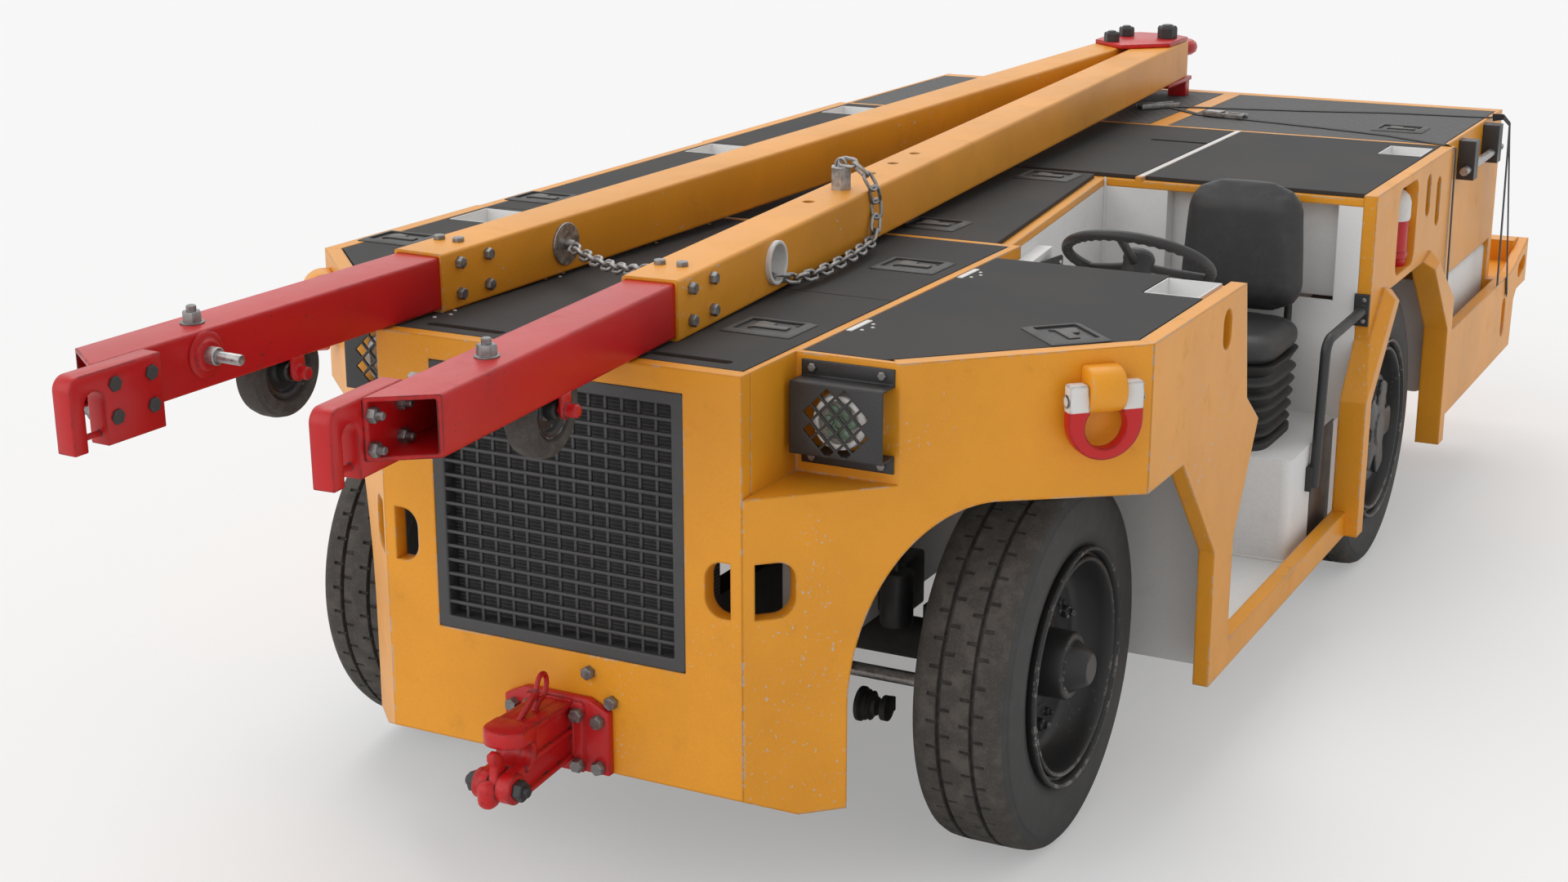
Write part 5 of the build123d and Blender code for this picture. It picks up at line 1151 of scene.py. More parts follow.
def towing_hitch():
    """Front hitch: bolted mount, ribbed neck, rounded tongue, forked jaw with a hook, and a ringed lever."""
    root = Matrix.Translation(place(0, 0, 0))
    face_on = axes_at(place(0, 0, 0), (1, 0, 0), (0, 0, 1), (0, -1, 0))
    side_on = axes_at(place(0, 0, 0), (0, 1, 0), (0, 0, 1), (1, 0, 0))
    red = Mesh()
    red.add(bevelled(prism(MOUNT, 0.0, 0.020), 0.003), face_on)
    red.add(bevelled(prism(DOUBLER, 0.018, 0.028), 0.003), face_on)
    throat = arc(THROAT, THROAT_R, 90, -90, 14)
    lobe = arc(CROSS, LOBE_R, 90, 270, 18)
    back = [(NECK_BACK, NECK_LOW), (NECK_BACK, NECK_TOP), (THROAT[0], NECK_TOP)]
    core = back + throat + [(-0.215, 0.3705), (-0.215, 0.3073)]
    cheek = back + throat + lobe
    red.add(prism(core, -FORK_GAP - 0.001, FORK_GAP + 0.001), side_on)
    rib_low = NECK_TOP - RIB_TALL
    lobe_low = CROSS[1] - LOBE_R
    ribs = [
        [(NECK_BACK, rib_low), (NECK_BACK, NECK_TOP), (THROAT[0], NECK_TOP), (THROAT[0], rib_low)],
        [(NECK_BACK, 0.380), (NECK_BACK, 0.392), (-0.170, 0.386), (-0.170, 0.374)],
        [(NECK_BACK, NECK_LOW), (NECK_BACK, NECK_LOW + RIB_TALL), (CROSS[0], 0.317), (CROSS[0], lobe_low)],
        arc(THROAT, THROAT_R, 90, -90, 14) + arc(THROAT, THROAT_R + 0.014, -90, 90, 14),
        arc(CROSS, LOBE_R, 0, 345, 30),
    ]
    for side in (1, -1):
        red.add(bevelled(prism(cheek, *sorted((side * FORK_GAP, side * CORE_HALF))), 0.002), side_on)
        rib_sides = sorted((side * (CORE_HALF - 0.004), side * NECK_HALF))
        for rib in ribs:
            red.add(bevelled(prism(rib, *rib_sides), 0.0025), side_on)
    wide = NECK_HALF + 0.0025
    tongue = [(-wide, -0.166), (wide, -0.166)]
    tongue += arc((wide - 0.042, -0.206), 0.042, 0, -90) + arc((0.042 - wide, -0.206), 0.042, -90, -180)
    red.add(bevelled(prism(tongue, 0.419, NECK_TOP + 0.002), 0.004), root)
    hook = [(CROSS[0] + y, CROSS[1] + z) for y, z in HOOK]
    red.add(bevelled(prism(hook, -0.0100, 0.0100), 0.0035), side_on)
    red.add(rounded_box((0.042, 0.046, 0.062), 0.019, 5), Matrix.Translation(place(-0.010, -0.262, 0.325)))
    red.add(tube([place(-0.064, *CROSS), place(0.064, *CROSS)], 0.011, 24))
    made = piece("towing_hitch", red, "red_paint")
    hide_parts("hitch_body")
    lever = Mesh()
    for leg in (FRONT_LEG, REAR_LEG):
        lever.add(bevelled(prism([(y, NECK_TOP + z) for y, z in leg], -0.006, 0.006), 0.002), side_on)
    tip = math.radians(75)
    ring = []
    for a in turns(36):
        y, z = 0.027 * math.cos(a), 0.0185 * math.sin(a)
        across = y * math.cos(tip) - z * math.sin(tip)
        up = y * math.sin(tip) + z * math.cos(tip)
        ring.append(place(0, RING_AT[0] + across, RING_AT[1] + up))
    lever.add(tube(ring, 0.0056, 14, closed=True))
    made = piece("hitch_lever", lever, "red_paint")
    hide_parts("hitch_pin")


def hitch_details():
    """Mount bolts, cross bolt nuts, weld beads and the two spare bolts on the nose."""
    steel = Mesh()
    for x, y, high in ((0.059, -0.028, 0.426), (0.106, -0.020, 0.416)):
        for side in (1, -1):
            for z in (0.312, high):
                steel.add(hex_head(0.032, 0.017), stand(place(side * x, y, z), (0, -1, 0), x * 30 + z))
    for x, z in ((0.073, 0.514), (0.128, 0.456)):
        steel.add(hex_head(0.031, 0.016), stand(place(x, 0, z), (0, -1, 0), z))
    piece("hitch_bolts", steel, "steel", [BOLT_STEEL])
    black = Mesh()
    for side in (1, -1):
        for shape in nut(0.046, 0.020, 0.0115, 0.030):
            black.add(shape, stand(place(side * NECK_HALF, *CROSS), (side, 0, 0), 0.2))
    piece("hitch_nuts", black, "black_paint")
    bead = Mesh()
    for side in (1, -1):
        edge = side * 0.047
        bead.add(weld([place(edge, -0.0285, 0.326), place(edge, -0.0285, 0.450)], 0.0045))
        bead.add(weld([place(side * 0.0705, -0.0205, 0.300), place(side * 0.0705, -0.0205, 0.450)], 0.0035))
    bead.add(weld([place(-0.046, -0.0285, 0.4525), place(0.046, -0.0285, 0.4525)], 0.0045))
    piece("hitch_welds", bead, "red_paint")


SHOULDER_X = 0.439
LUG_S = 0.761
LUG_HALF = 0.0385
LUG_ROUND = 0.049
LUG_MIDDLE = 1.118
LUG_FLAT = 0.020
BOW_HALF = 0.083
BOW_TOP = 1.135
BOW_MIDDLE = 1.055
BOW_CHEEK = 0.041
EYE_MIDDLE = 1.043
EYE_INNER = 0.046
BOW_OUT = (0.0175, 0.0505)
PIN_HEIGHT = 1.100


def shoulder_frame(side, order):
    """A matrix on a shoulder plate: s along it, z up and o outward, in a chosen order."""
    ways = {"s": Vector((1, 1, 0)).normalized(), "z": Vector((0, 0, 1)), "o": Vector((1, -1, 0)).normalized()}
    return axes_at(place(side * SHOULDER_X, 0, 0), *[mirrored(ways[letter], side) for letter in order])


def tie_downs():
    """Round-nosed lugs on the shoulders, each holding a flat forged bow shackle on a pin."""
    lug = [(0.0, LUG_MIDDLE - LUG_ROUND)] + arc((LUG_FLAT, LUG_MIDDLE), LUG_ROUND, -90, 90, 20)
    lug.append((0.0, LUG_MIDDLE + LUG_ROUND))
    bow = [(-BOW_HALF, BOW_TOP)] + arc((0, BOW_MIDDLE), BOW_HALF, 180, 360, 28)
    bow += [(BOW_HALF, BOW_TOP), (BOW_CHEEK, BOW_TOP)]
    bow += arc((0, EYE_MIDDLE), EYE_INNER, 39, -219, 28) + [(-BOW_CHEEK, BOW_TOP)]
    yellow = Mesh()
    red = Mesh()
    for side in (1, -1):
        nosed = bevelled(prism(lug, LUG_S - LUG_HALF, LUG_S + LUG_HALF), 0.004)
        yellow.add(nosed, shoulder_frame(side, "ozs"))
        flat = shoulder_frame(side, "szo")
        red.add(bevelled(prism(bow, *BOW_OUT), 0.006), flat @ Matrix.Translation((LUG_S, 0, 0)))
        pin = [(LUG_S + a * (BOW_HALF + 0.003), PIN_HEIGHT, sum(BOW_OUT) / 2) for a in (-1, 1)]
        red.add(tube([flat @ Vector(end) for end in pin], 0.012, 20))
    made = piece("lug_blocks", yellow, "yellow_paint")
    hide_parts("tie_down_lugs")
    made = piece("bow_shackles", red, "red_paint", [NODE_FINISHES["shackles"]])
    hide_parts("shackles")


GRILLE_RIM = 0.028
GRILLE_COLUMNS = 14
GRILLE_ROWS = 17
GRILLE_BAR = 0.007


def nose_grille():
    """Grille frame with a softened rim, bright cross bars and upright bars behind them."""
    low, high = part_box("grille")
    size = high - low
    lie = stand(Vector(((low.x + high.x) / 2, high.y, (low.z + high.z) / 2)), (0, -1, 0))
    outer = (size.x, size.z)
    inner = (size.x - 2 * GRILLE_RIM, size.z - 2 * GRILLE_RIM)
    lip = 0.0025
    rim = [
        (ring_outline(outer, 0.010), 0.0),
        (ring_outline(outer, 0.010), size.y - lip),
        (ring_outline([a - 2 * lip for a in outer], 0.008), size.y),
        (ring_outline([a + 2 * lip for a in inner], 0.006), size.y),
        (ring_outline(inner, 0.004), size.y - lip),
        (ring_outline(inner, 0.004), 0.0),
    ]
    mesh = Mesh().add(loft(rim), lie)
    upright = rounded_box((GRILLE_BAR, inner[1] + 0.004, GRILLE_BAR), 0.0012, 2)
    for k in range(1, GRILLE_COLUMNS):
        x = inner[0] * (k / GRILLE_COLUMNS - 0.5)
        mesh.add(upright, lie @ Matrix.Translation((x, 0, size.y - 0.0135)))
    cross = rounded_box((inner[0] + 0.004, GRILLE_BAR, GRILLE_BAR), 0.0012, 2)
    for k in range(1, GRILLE_ROWS):
        y = inner[1] * (k / GRILLE_ROWS - 0.5)
        mesh.add(cross, lie @ Matrix.Translation((0, y, size.y - 0.0065)))
    made = piece("nose_grille", mesh, "black_paint", [GRILLE_BLACK])
    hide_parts("grille")


LAMP_X = 0.558
LAMP_Z = 1.072
LAMP_RING = [(0.046, 0.0), (0.045, 0.008), (0.048, 0.010), (0.056, 0.009), (0.0585, 0.0)]
LAMP_CELL = [(0.0125, 0), (0.012, 0.004), (0.008, 0.0065), (0, 0.0075)]
LAMP_CELL_OUT = 0.026
GUARD_INSET = 0.033
GUARD_SHEET = 0.005
CELL_PITCH = 0.027
CELL_BAR = 0.005
CELL_REACH = 0.062


def lamp_guards():
    """Bent guard over each lamp: flanged top and bottom, with a lattice of square holes in its face."""
    low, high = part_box("lamp_guards")
    wide = 2 * (high.x - LAMP_X)
    tall = high.z - low.z
    deep = high.y - low.y
    plates = Mesh()
    cells = Mesh()
    bends = Mesh()
    side_cell = (CELL_PITCH - CELL_BAR) / 2
    square = [(a * side_cell, b * side_cell) for a, b in SQUARE]
    for side in (1, -1):
        back = stand(Vector((side * LAMP_X, high.y, (low.z + high.z) / 2)), (0, -1, 0))
        face = rounded_box((wide, tall - 2 * GUARD_INSET, GUARD_SHEET), 0.0015)
        plates.add(face, back @ Matrix.Translation((0, 0, deep - GUARD_SHEET / 2)))
        lamp = stand(Vector((side * LAMP_X, high.y, LAMP_Z)), (0, -1, 0), math.pi / 4)
        for i in range(-3, 4):
            for j in range(-3, 4):
                x, y = i * CELL_PITCH, j * CELL_PITCH
                if math.hypot(x, y) < CELL_REACH:
                    cells.add(prism(square, deep - 0.02, deep + 0.02), lamp @ Matrix.Translation((x, y, 0)))
        for end in (1, -1):
            edge = tall / 2 - GUARD_INSET
            web = rounded_box((wide - 0.001, GUARD_SHEET, deep - 0.001), 0.0015)
            bends.add(web, back @ Matrix.Translation((0, end * (edge - GUARD_SHEET / 2), deep / 2)))
            flange = rounded_box((wide, GUARD_INSET + GUARD_SHEET, GUARD_SHEET), 0.0015)
            middle = end * (tall / 2 - (GUARD_INSET + GUARD_SHEET) / 2)
            bends.add(flange, back @ Matrix.Translation((0, middle, GUARD_SHEET / 2)))
    made = piece("guard_faces", plates, "black_paint")
    carved(made, cells)
    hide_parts("lamp_guards")
    piece("guard_flanges", bends, "black_paint")


def lamp_details():
    """Guard bolts, and the ring and cells of each lamp behind the guard's mesh."""
    low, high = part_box("lamp_guards")
    steel = Mesh()
    white = Mesh()
    cells = Mesh()
    lens_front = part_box("lamp_lenses")[0].y
    for side in (1, -1):
        for x in (-0.078, 0.078):
            for z in (low.z + 0.015, high.z - 0.015):
                at = Vector((side * LAMP_X + x, high.y - GUARD_SHEET, z))
                steel.add(hex_head(0.019, 0.008), stand(at, (0, -1, 0), x))
        face = stand(Vector((side * LAMP_X, lens_front, LAMP_Z)), (0, -1, 0))
        white.add(lathe(LAMP_RING, 48, ring=True), face)
        for k in range(7):
            angle = k * math.pi / 3
            out = LAMP_CELL_OUT if k else 0.0
            spot = Matrix.Translation((out * math.cos(angle), out * math.sin(angle), 0))
            cells.add(lathe(LAMP_CELL, 20), face @ spot)
    piece("lamp_bolts", steel, "steel", [BOLT_STEEL])
    piece("lamp_rings", white, "grey_paint", [WHITE_PAINT])
    piece("lamp_cells", cells, "lens", [CELL_GLASS])


# Deck furniture
LATCHES = [
    (0.298, 0.384), (0.307, 1.096), (0.142, 1.593), (0.140, 2.411), (0.834, 3.782), (-0.969, 0.805),
    (-0.963, 1.447),
]
LID_LATCH = (0.876, 0.616)
LID_LATCH_TURN = -0.785
LATCH_SIZE = (0.166, 0.138)
LATCH_OPEN = (0.126, 0.100)
PADDLE = [
    (-0.030, -0.012), (0.046, -0.012), (0.046, 0.012), (0.004, 0.012), (0.004, 0.030),
    (-0.030, 0.038), (-0.040, 0.030), (-0.034, 0.0), (-0.040, -0.024),
]
LATCH_SCREW = [(0.004, 0.001), (0.004, 0.003), (0.0, 0.0034)]


def latch(frames, trays, paddles, at, turn=0.0):
    """A paddle latch: sloping raised frame, dark tray, T-shaped paddle and two screws."""
    lie = Matrix.Translation(at) @ Matrix.Rotation(turn, 4, "Z")
    outer = ring_outline(LATCH_SIZE, 0.006)
    crest = ring_outline([(a + b) / 2 for a, b in zip(LATCH_SIZE, LATCH_OPEN)], 0.005)
    inner = ring_outline(LATCH_OPEN, 0.004)
    frames.add(loft([(outer, 0.0), (outer, 0.0015), (crest, 0.0055), (inner, 0.006), (inner, 0.0)]), lie)
    trays.add(loft([(inner, 0.0), (inner, 0.0012)], caps=True), lie)
    paddles.add(bevelled(prism(PADDLE, 0.0012, 0.0052), 0.0012), lie)
    for x, y in ((0.052, -0.036), (0.050, 0.036)):
        trays.add(lathe(LATCH_SCREW, 12), lie @ Matrix.Translation((x, y, 0)))


def deck_latches():
    """All paddle latches, the one on the locker lid riding with the lid."""
    for name, body, spots in (("deck", "chassis", LATCHES), ("lid", "locker_lid", [LID_LATCH])):
        frames = Mesh()
        trays = Mesh()
        paddles = Mesh()
        for x, y in spots:
            latch(frames, trays, paddles, place(x, y, DECK_Z), LID_LATCH_TURN if body == "locker_lid" else 0.0)
        piece(f"{name}_latch_frames", frames, "deck_grip", [LATCH_GREY], body=body)
        piece(f"{name}_latch_trays", trays, "black_plastic", body=body)
        piece(f"{name}_latch_paddles", paddles, "deck_grip", [PADDLE_GREY], body=body)


HINGE_STATIONS = (0.492, 1.080)
RIVET_TRIPLES = [(-0.380, 0.178), (-0.380, 0.613), (-0.383, 1.060), (-0.383, 1.330)]


def deck_rivets():
    """White hinge leaves of the locker lid and the rivets beside them."""
    leaves = Mesh()
    fixed = Mesh()
    lid_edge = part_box("locker_lid")[0].x
    for y in HINGE_STATIONS:
        strip = rounded_box((0.014, 0.104, 0.004), 0.0012)
        leaves.add(strip, Matrix.Translation(place(lid_edge + 0.009, y, DECK_Z)))
        for x, dy in ((0.030, 0.024), (0.042, -0.004), (0.031, -0.034)):
            leaves.add(rivet(), Matrix.Translation(place(lid_edge + x, y + dy, DECK_Z)))
    for x, y in RIVET_TRIPLES:
        for dx, dy in ((-0.008, -0.037), (0.008, 0.0), (-0.006, 0.036)):
            fixed.add(rivet(), Matrix.Translation(place(x + dx, y + dy, DECK_Z)))
    piece("lid_hinges", leaves, "grey_paint", [WHITE_PAINT], body="locker_lid")
    piece("deck_rivets", fixed, "grey_paint", [WHITE_PAINT])


STRAP_WIDTH = 0.026
STRAP_THICK = 0.0024
STRAP_FACE = Vector((1, 0, 0.2))
STRAP_LONG = [
    (-0.069, 3.818), (0.024, 3.933), (0.230, 3.988), (0.454, 4.043), (0.712, 4.131), (1.050, 4.178),
]
STRAP_SHORT = [
    (0.024, 3.900), (0.160, 3.784), (0.340, 3.749), (0.600, 3.690), (0.832, 3.623), (1.040, 3.508),
]


def deck_strap():
    """Lashing strap over the rear deck, with two ratchet buckles and the ends down the side."""
    web = Mesh()
    lift = DECK_Z + 0.002
    for route in (STRAP_LONG, STRAP_SHORT):
        flat = [place(x, y, lift) for x, y in route]
        web.add(ribbon(flat, Vector((0, 0, 1)), STRAP_WIDTH, STRAP_THICK))
    corner = [(1.050, 4.178, lift), (1.084, 4.190, DECK_Z + 0.004), (1.104, 4.200, DECK_Z - 0.020)]
    for foot in ((1.106, 4.420, 0.545), (1.106, 4.219, 0.620)):
        hang = [place(*point) for point in corner + [foot]]
        web.add(ribbon(hang, STRAP_FACE, STRAP_WIDTH, STRAP_THICK))
    side = [place(1.040, 3.508, lift), place(1.072, 3.500, DECK_Z - 0.004), place(1.078, 3.502, 0.700)]
    web.add(ribbon(side, STRAP_FACE, STRAP_WIDTH * 0.7, STRAP_THICK))
    piece("deck_strap", web, "black_plastic", [WEBBING])
    buckles = Mesh()
    for (x0, y0), (x1, y1) in ((STRAP_LONG[0], STRAP_LONG[1]), (STRAP_SHORT[1], STRAP_SHORT[2])):
        turn = math.atan2(y1 - y0, x1 - x0)
        lie = Matrix.Translation(place((x0 + x1) / 2, (y0 + y1) / 2, lift)) @ Matrix.Rotation(turn, 4, "Z")
        for side in (1, -1):
            cheek = rounded_box((0.150, 0.003, 0.016), 0.001)
            buckles.add(cheek, lie @ Matrix.Translation((0, side * 0.019, 0.009)))
        buckles.add(rounded_box((0.062, 0.036, 0.003), 0.001), lie @ Matrix.Translation((-0.040, 0, 0.018)))
        for x in (-0.060, 0.0, 0.060):
            pin = Matrix.Translation((x, 0.021, 0.010)) @ Matrix.Rotation(math.pi / 2, 4, "X")
            buckles.add(lathe([(0.0055, 0.0), (0.0055, 0.042), (0.0, 0.042)], 14), lie @ pin)
    piece("strap_buckles", buckles, "steel", [CHAIN_STEEL])


# Cab
WHEEL_AT = place(0.690, 1.620, 1.150)
WHEEL_TILT = math.radians(30)
WHEEL_R = 0.182
GRIP_R = 0.0135
FINGER_GRIPS = 44


def steering_wheel():
    """Thick rim with finger grips under it, three round spokes and a domed hub."""
    turn = stand(WHEEL_AT, (0, math.sin(WHEEL_TILT), math.cos(WHEEL_TILT)))
    mesh = Mesh()
    columns = FINGER_GRIPS * 4
    sides = 16
    points = []
    for k in range(columns):
        angle = 2 * math.pi * k / columns
        bump = 0.0016 * math.cos(FINGER_GRIPS * angle)
        for s in range(sides):
            lean = 2 * math.pi * s / sides
            under = max(0.0, math.cos(lean - math.radians(225)))
            r = GRIP_R + bump * under
            out = WHEEL_R + r * math.cos(lean)
            points.append((out * math.cos(angle), out * math.sin(angle), r * math.sin(lean)))
    mesh.add((points, skin(columns, sides, True)), turn)
    hub = [(0.0, -0.045), (0.036, -0.045), (0.038, -0.004), (0.040, 0.0), (0.040, 0.010), (0.037, 0.013)]
    mesh.add(lathe(hub + [(0.037, 0.016), (0.030, 0.024), (0.016, 0.029), (0.0, 0.030)], 40), turn)
    for k in range(3):
        angle = math.radians(90 + 120 * k)
        way = Vector((math.cos(angle), math.sin(angle), 0))
        spoke = [way * 0.030 + Vector((0, 0, -0.012)), way * 0.10 + Vector((0, 0, -0.008)), way * WHEEL_R]
        mesh.add(tube(spoke, 0.011, 14), turn)
    made = piece("steering_rim", mesh, "black_plastic", body="steering_wheel", sharp=40)
    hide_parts("steering_wheel")


def cushion_rings(size, power, round_over, taper=0.0, lean=0.0):
    """Rings of a soft block: rounded ends, optional narrowing and leaning towards its top."""
    rings = []
    levels = 15
    for k in range(levels):
        t = k / (levels - 1)
        from_end = min(t, 1 - t) * size[2]
        bite = max(0.0, 1 - from_end / round_over)
        inset = round_over * (1 - math.sqrt(max(0.0, 1 - bite * bite)))
        narrow = 1 - taper * t ** 2.2
        ring = oval_ring(size[0] / 2 * narrow - inset, size[1] / 2 - min(inset, size[1] * 0.42), power)
        rings.append(([(x, y + lean * t) for x, y in ring], t * size[2]))
    return rings


def stuffed(made, cap):
    """Inflates a closed piece as cloth over its filling; no point moves further than the cap."""
    grid = made.modifiers.new("grid", "REMESH")
    grid.mode = "VOXEL"
    grid.voxel_size = 0.007
    bake(made)
    rest = [v.co.copy() for v in made.data.vertices]
    cloth = made.modifiers.new("cloth", "CLOTH")
    cloth.settings.quality = 5
    cloth.settings.use_pressure = True
    cloth.settings.uniform_pressure_force = 4.0
    cloth.settings.effector_weights.gravity = 0.0
    cloth.settings.tension_stiffness = 30.0
    cloth.settings.compression_stiffness = 30.0
    for number in range(1, 16):
        scene.frame_set(number)
    bake(made)
    scene.frame_set(1)
    for vertex, start in zip(made.data.vertices, rest):
        move = vertex.co - start
        if move.length > cap:
            vertex.co = start + move.normalized() * cap
    smooth = made.modifiers.new("smooth", "SMOOTH")
    smooth.iterations = 6
    bake(made)
    made.data.shade_smooth()


def driver_seat():
    """Padded cushion and back, and the pleated bellows and two posts that carry them."""
    for node, power, over, taper, lean in (
        ("seat_cushion", 4.5, 0.034, 0.0, 0.0),
        ("seat_back", 3.2, 0.085, 0.12, 0.012),
    ):
        low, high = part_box(node)
        size = high - low
        mesh = Mesh()
        rings = cushion_rings(size - Vector((0.012, 0.012, 0.006)), power, over, taper, lean)
        base = ((low.x + high.x) / 2, (low.y + high.y) / 2 - lean, low.z)
        mesh.add(loft(rings, caps=True), Matrix.Translation(base))
        made = piece(node + "_pad", mesh, "seat_vinyl", sharp=60)
        stuffed(made, 0.006)
        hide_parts(node)
    low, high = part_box("seat_cushion")
    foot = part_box("seat_box")[1].z
    middle = Vector(((low.x + high.x) / 2, (low.y + high.y) / 2 - 0.015, 0))
    bellows = Mesh()
    rings = []
    pleats = 5
    for k in range(pleats * 8 + 1):
        t = k / (pleats * 8)
        wave = 0.5 - 0.5 * math.cos(2 * math.pi * t * pleats)
        grow = 0.145 + 0.022 * wave + 0.012 * t
        rings.append((oval_ring(grow + 0.010, grow, 5.0), foot + 0.022 + t * (low.z - 0.030 - foot - 0.022)))
    bellows.add(loft(rings, caps=True), Matrix.Translation(middle))
    foot_ring = [(oval_ring(0.176, 0.163, 6.0), foot), (oval_ring(0.176, 0.163, 6.0), foot + 0.016)]
    foot_ring.append((oval_ring(0.166, 0.153, 6.0), foot + 0.022))
    bellows.add(loft(foot_ring, caps=True), Matrix.Translation(middle))
    pan = [(oval_ring(0.168, 0.160, 5.0), low.z - 0.030), (oval_ring(0.186, 0.180, 5.0), low.z)]
    bellows.add(loft(pan, caps=True), Matrix.Translation(middle + Vector((0, 0.015, 0))))
    back_low, back_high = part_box("seat_back")
    for side in (1, -1):
        post = [
            Vector((middle.x + side * 0.120, back_high.y - 0.060, low.z - 0.020)),
            Vector((middle.x + side * 0.120, back_high.y + 0.004, low.z - 0.006)),
            Vector((middle.x + side * 0.120, back_high.y + 0.008, back_low.z + 0.120)),
        ]
        bellows.add(tube(smooth_route(post), 0.011, 12))
    made = piece("seat_bellows", bellows, "bellows_rubber", sharp=50)
    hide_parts("seat_suspension")


def tablet(size, corner, low, high, edge):
    """A thin plate with rounded corners and softened edges, lying on Z."""
    return bevelled(prism(ring_outline(size, corner), low, high), edge)


KNOB = [(0.010, 0.004), (0.010, 0.014), (0.019, 0.018), (0.021, 0.026), (0.017, 0.033), (0.0, 0.036)]
CAB_WELD = 0.006


def cab_details():
    """Switch plate with blank labels and knobs, blank data plate, weld beads, rail screws."""
    low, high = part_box("instrument_panel")
    wall = Vector((0.135, 1.080, 0)).normalized()
    out = Vector((wall.y, -wall.x, 0))
    plate_at = Vector((high.x - 0.016, low.y + 0.130, (low.z + high.z) / 2))
    upright = axes_at(plate_at, wall, (0, 0, 1), out)
    black = Mesh().add(tablet((0.236, 0.200), 0.010, 0.0, 0.004, 0.001), upright)
    beige = Mesh()
    green = Mesh()
    for x, y, wide, tall in ((0.034, 0.066, 0.060, 0.034), (-0.040, 0.060, 0.030, 0.026)):
        blank = tablet((wide, tall), 0.003, 0.004, 0.0055, 0.0005)
        beige.add(blank, upright @ Matrix.Translation((x, y, 0)))
    chart = tablet((0.084, 0.070), 0.003, 0.004, 0.0055, 0.0005)
    green.add(chart, upright @ Matrix.Translation((0.036, -0.004, 0)))
    steel = Mesh()
    for x in (-0.098, -0.020, 0.098):
        for y in (-0.082, -0.030, 0.030, 0.082):
            steel.add(hex_head(0.012, 0.006), upright @ Matrix.Translation((x, y, 0.004)))
    yellow = Mesh().add(lathe(KNOB, 28), upright @ Matrix.Translation((-0.062, 0.010, 0)))
    black.add(lathe(KNOB, 28), upright @ Matrix.Translation((-0.062, -0.048, 0)))
    piece("switch_plate", black, "black_plastic")
    piece("blank_labels", beige, "grey_paint", [LABEL_BEIGE])
    piece("blank_chart", green, "grey_paint", [LABEL_GREEN])
    piece("yellow_knob", yellow, "yellow_paint")
    box_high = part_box("seat_box")[1]
    plate = stand(Vector((box_high.x, NOSE_Y + 2.350, 0.418)), (1, 0, 0))
    brown = Mesh().add(tablet((0.215, 0.312), 0.004, 0.0, 0.0018, 0.0006), plate)
    for x in (-0.098, 0.098):
        for y in (-0.146, 0.146):
            steel.add(rivet(), plate @ Matrix.Translation((x, y, 0.0018)))
    piece("data_plate", brown, "black_plastic", [LABEL_BROWN])
    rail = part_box("grab_rail")
    for z in (-0.030, 0.030):
        at = Vector((rail[1].x - 0.014, rail[1].y - 0.0105, 0.877 + z))
        steel.add(lathe([(0.007, 0), (0.006, 0.003), (0.0, 0.004)], 16), stand(at, (0, -1, 0)))
    piece("cab_screws", steel, "steel")
    beads = Mesh()
    side = box_high.x + 0.001
    for start, end in (
        ((0.276, 2.519, 0.300), (0.276, 2.519, 1.190)),
        ((side, 2.030, 0.277), (side, 2.518, 0.277)),
        ((side, 2.519, 0.277), (side, 2.519, 0.556)),
        ((0.474, 2.027, 0.277), (side, 2.027, 0.277)),
    ):
        beads.add(weld([place(*start), place(*end)], CAB_WELD))
    piece("cab_welds", beads, "grey_paint", [WHITE_PAINT])


# Under the front arch and in the rear recess
BOOT = [
    (0.022, 0.0), (0.040, 0.004), (0.040, 0.012), (0.030, 0.016), (0.036, 0.022), (0.028, 0.028),
    (0.034, 0.034), (0.024, 0.040), (0.021, 0.048),
]
CLAMP = [(0.021, 0.060), (0.029, 0.062), (0.029, 0.076), (0.021, 0.078)]
BOTTLE = [(0.0, 0.90), (0.046, 0.90), (0.050, 0.906), (0.050, 1.055), (0.044, 1.062), (0.0, 1.062)]
BOTTLE_BAND = [(0.0515, 0.94), (0.0525, 0.942), (0.0525, 0.956), (0.0515, 0.958)]
BOTTLE_CAP = [
    (0.052, 1.052), (0.054, 1.060), (0.054, 1.105), (0.048, 1.124), (0.034, 1.137), (0.016, 1.143),
    (0.0, 1.144),
]


def arch_details():
    """Hanging black box with a canister, and the tie rod's boot and clamp."""
    hung = Mesh()
    hung.add(rounded_box((0.070, 0.110, 0.130), 0.008), Matrix.Translation(place(0.470, 0.700, 0.560)))
    canister = [(0.0, -0.07), (0.034, -0.07), (0.038, -0.064), (0.038, 0.05), (0.034, 0.056), (0.0, 0.056)]
    hung.add(lathe(canister, 28), Matrix.Translation(place(0.500, 0.610, 0.560)))
    hose = [(0.500, 0.610, 0.610), (0.480, 0.630, 0.720), (0.440, 0.650, 0.800)]
    hung.add(tube([place(*point) for point in hose], 0.010, 12))
    piece("arch_box", hung, "black_paint")
    boot = Mesh()
    for side in (1, -1):
        way = stand(place(side * 0.427, 0.572, 0.300), (side, 0, 0))
        boot.add(lathe(BOOT, 32), way)
        boot.add(lathe(CLAMP, 28), way)
        boot.add(rounded_box((0.012, 0.034, 0.014), 0.002), way @ Matrix.Translation((0.030, 0, 0.069)))
    piece("tie_rod_boots", boot, "bellows_rubber", body="tie_rod")


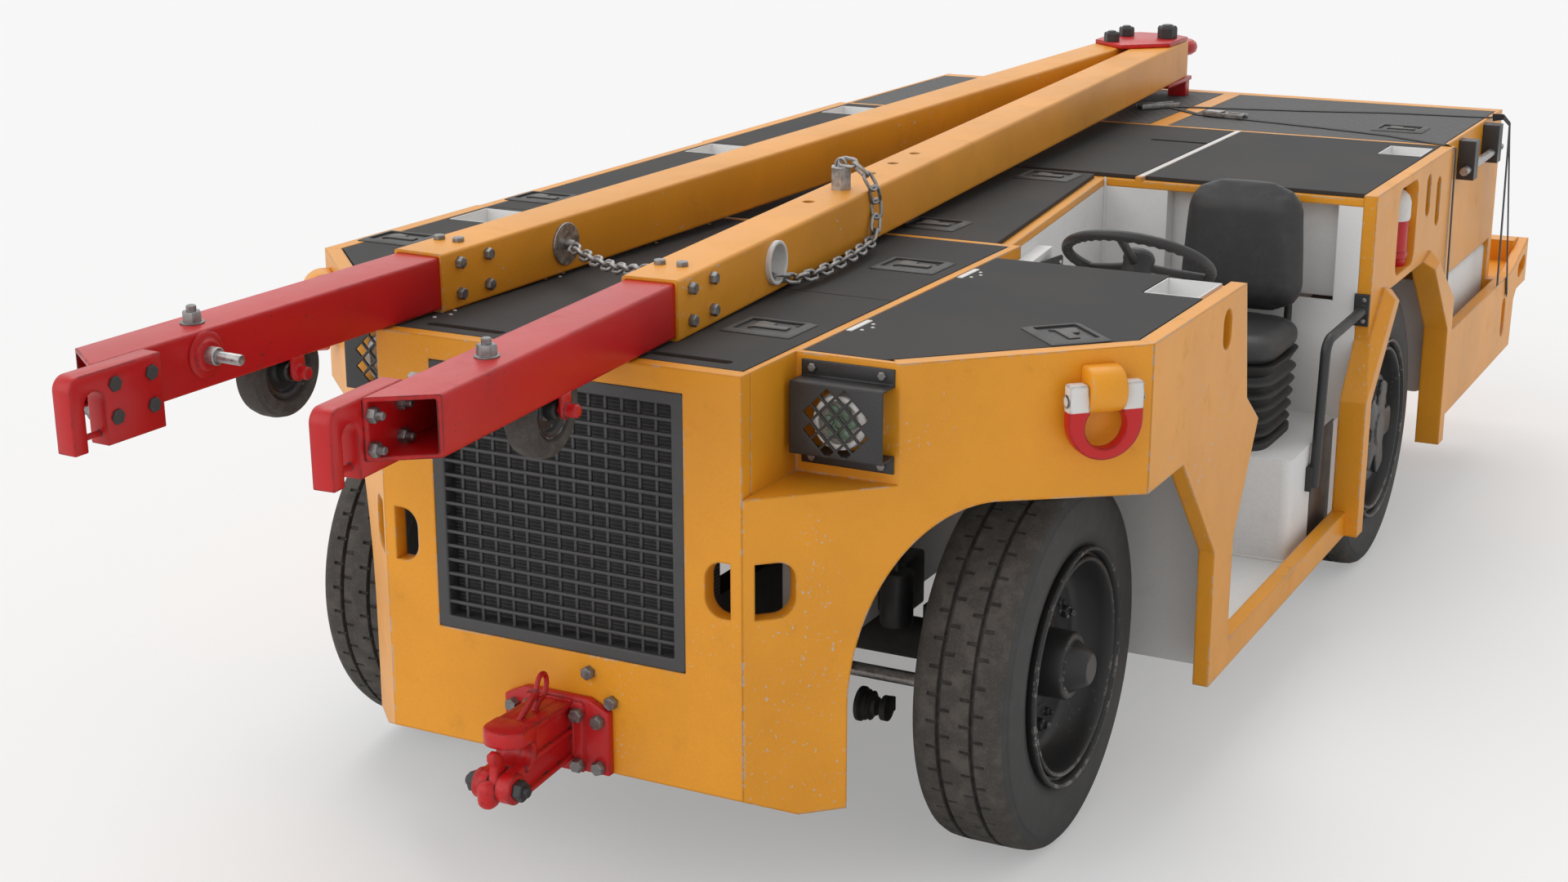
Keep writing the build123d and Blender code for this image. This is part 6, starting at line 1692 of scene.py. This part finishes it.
def recess_bottle():
    """Red bottle with a white cap in the recess over the rear wheel."""
    at = Matrix.Translation(place(1.004, 2.985, 0))
    red = Mesh().add(lathe(BOTTLE, 40), at).add(lathe(BOTTLE_BAND, 40), at)
    white = Mesh().add(lathe(BOTTLE_CAP, 40), at)
    piece("recess_bottle", red, "red_paint")
    piece("bottle_cap", white, "grey_paint", [WHITE_PAINT])


for wheel_end in ("front", "rear"):
    for wheel_side, wheel_sign in SIDES:
        dress_wheel(f"{wheel_end}_{wheel_side}", wheel_sign)
bar_sleeves()
tube_ends()
bar_head()
bar_wheels()
bar_bolts()
bar_chains()
towing_hitch()
hitch_details()
nose_grille()
tie_downs()
lamp_guards()
lamp_details()
deck_latches()
deck_rivets()
deck_strap()
steering_wheel()
driver_seat()
cab_details()
arch_details()
recess_bottle()


# Floor, light and camera
FLOOR_SHADED = 0.60
FLOOR_GLOW = 0.30
FLOOR_REACH = 70.0
SURROUND_STRENGTH = 0.62
BACKDROP = (0.93, 0.93, 0.93, 1.0)
LAMPS = [("key", 1.15, 50, (-0.26, 0.45, 0.81)), ("fill", 1.05, 70, (-0.45, -0.82, 0.36))]


def studio_floor():
    """A wide pale floor that keeps the soft shadow."""
    f = Finish("floor")
    faint = f.noise(0.6, 2.0)
    seen = f.node("LightPath").outputs["Is Camera Ray"]
    pale = f.mix(faint, (0.82, 0.82, 0.82, 1.0), (0.84, 0.84, 0.84, 1.0))
    f.set(
        Base_Color=f.mix(seen, pale, (FLOOR_SHADED,) * 3 + (1.0,)),
        Roughness=1.0,
        Specular_IOR_Level=0.0,
        Emission_Color=(1.0, 1.0, 1.0, 1.0),
        Emission_Strength=f.maths("MULTIPLY", seen, FLOOR_GLOW),
    )
    data = bpy.data.meshes.new("floor")
    data.from_pydata([(a * FLOOR_REACH, b * FLOOR_REACH, 0) for a, b in SQUARE], [], [[0, 1, 2, 3]])
    data.materials.append(f.material)
    floor = bpy.data.objects.new("floor", data)
    scene.collection.objects.link(floor)


def studio_light():
    """Even white surroundings, a broad soft light from above and a fill from in front."""
    world = bpy.data.worlds.new("studio")
    scene.world = world
    world.use_nodes = True
    tree = world.node_tree
    tree.nodes.clear()
    light = tree.nodes.new("ShaderNodeBackground")
    light.inputs["Color"].default_value = (1.0, 1.0, 1.0, 1.0)
    light.inputs["Strength"].default_value = SURROUND_STRENGTH
    seen = tree.nodes.new("ShaderNodeBackground")
    seen.inputs["Color"].default_value = BACKDROP
    seen.inputs["Strength"].default_value = 1.0
    rays = tree.nodes.new("ShaderNodeLightPath")
    either = tree.nodes.new("ShaderNodeMath")
    either.operation = "MAXIMUM"
    tree.links.new(rays.outputs["Is Camera Ray"], either.inputs[0])
    tree.links.new(rays.outputs["Is Glossy Ray"], either.inputs[1])
    blend = tree.nodes.new("ShaderNodeMixShader")
    tree.links.new(either.outputs["Value"], blend.inputs["Fac"])
    tree.links.new(light.outputs["Background"], blend.inputs[1])
    tree.links.new(seen.outputs["Background"], blend.inputs[2])
    output = tree.nodes.new("ShaderNodeOutputWorld")
    tree.links.new(blend.outputs["Shader"], output.inputs["Surface"])

    for name, energy, spread, way in LAMPS:
        lamp = bpy.data.lights.new(name, "SUN")
        lamp.energy = energy
        lamp.angle = math.radians(spread)
        sun = bpy.data.objects.new(name, lamp)
        sun.rotation_euler = Vector(way).to_track_quat("Z", "Y").to_euler()
        scene.collection.objects.link(sun)


def photo_camera():
    """The photograph's viewpoint."""
    data = bpy.data.cameras.new("camera")
    data.lens = CAMERA_LENS
    data.sensor_width = 36.0
    data.clip_end = 200.0
    camera = bpy.data.objects.new("camera", data)
    camera.location = CAMERA_AT
    camera.rotation_euler = CAMERA_TURN
    scene.collection.objects.link(camera)
    scene.camera = camera


studio_floor()
studio_light()
photo_camera()
scene.view_settings.view_transform = "Standard"
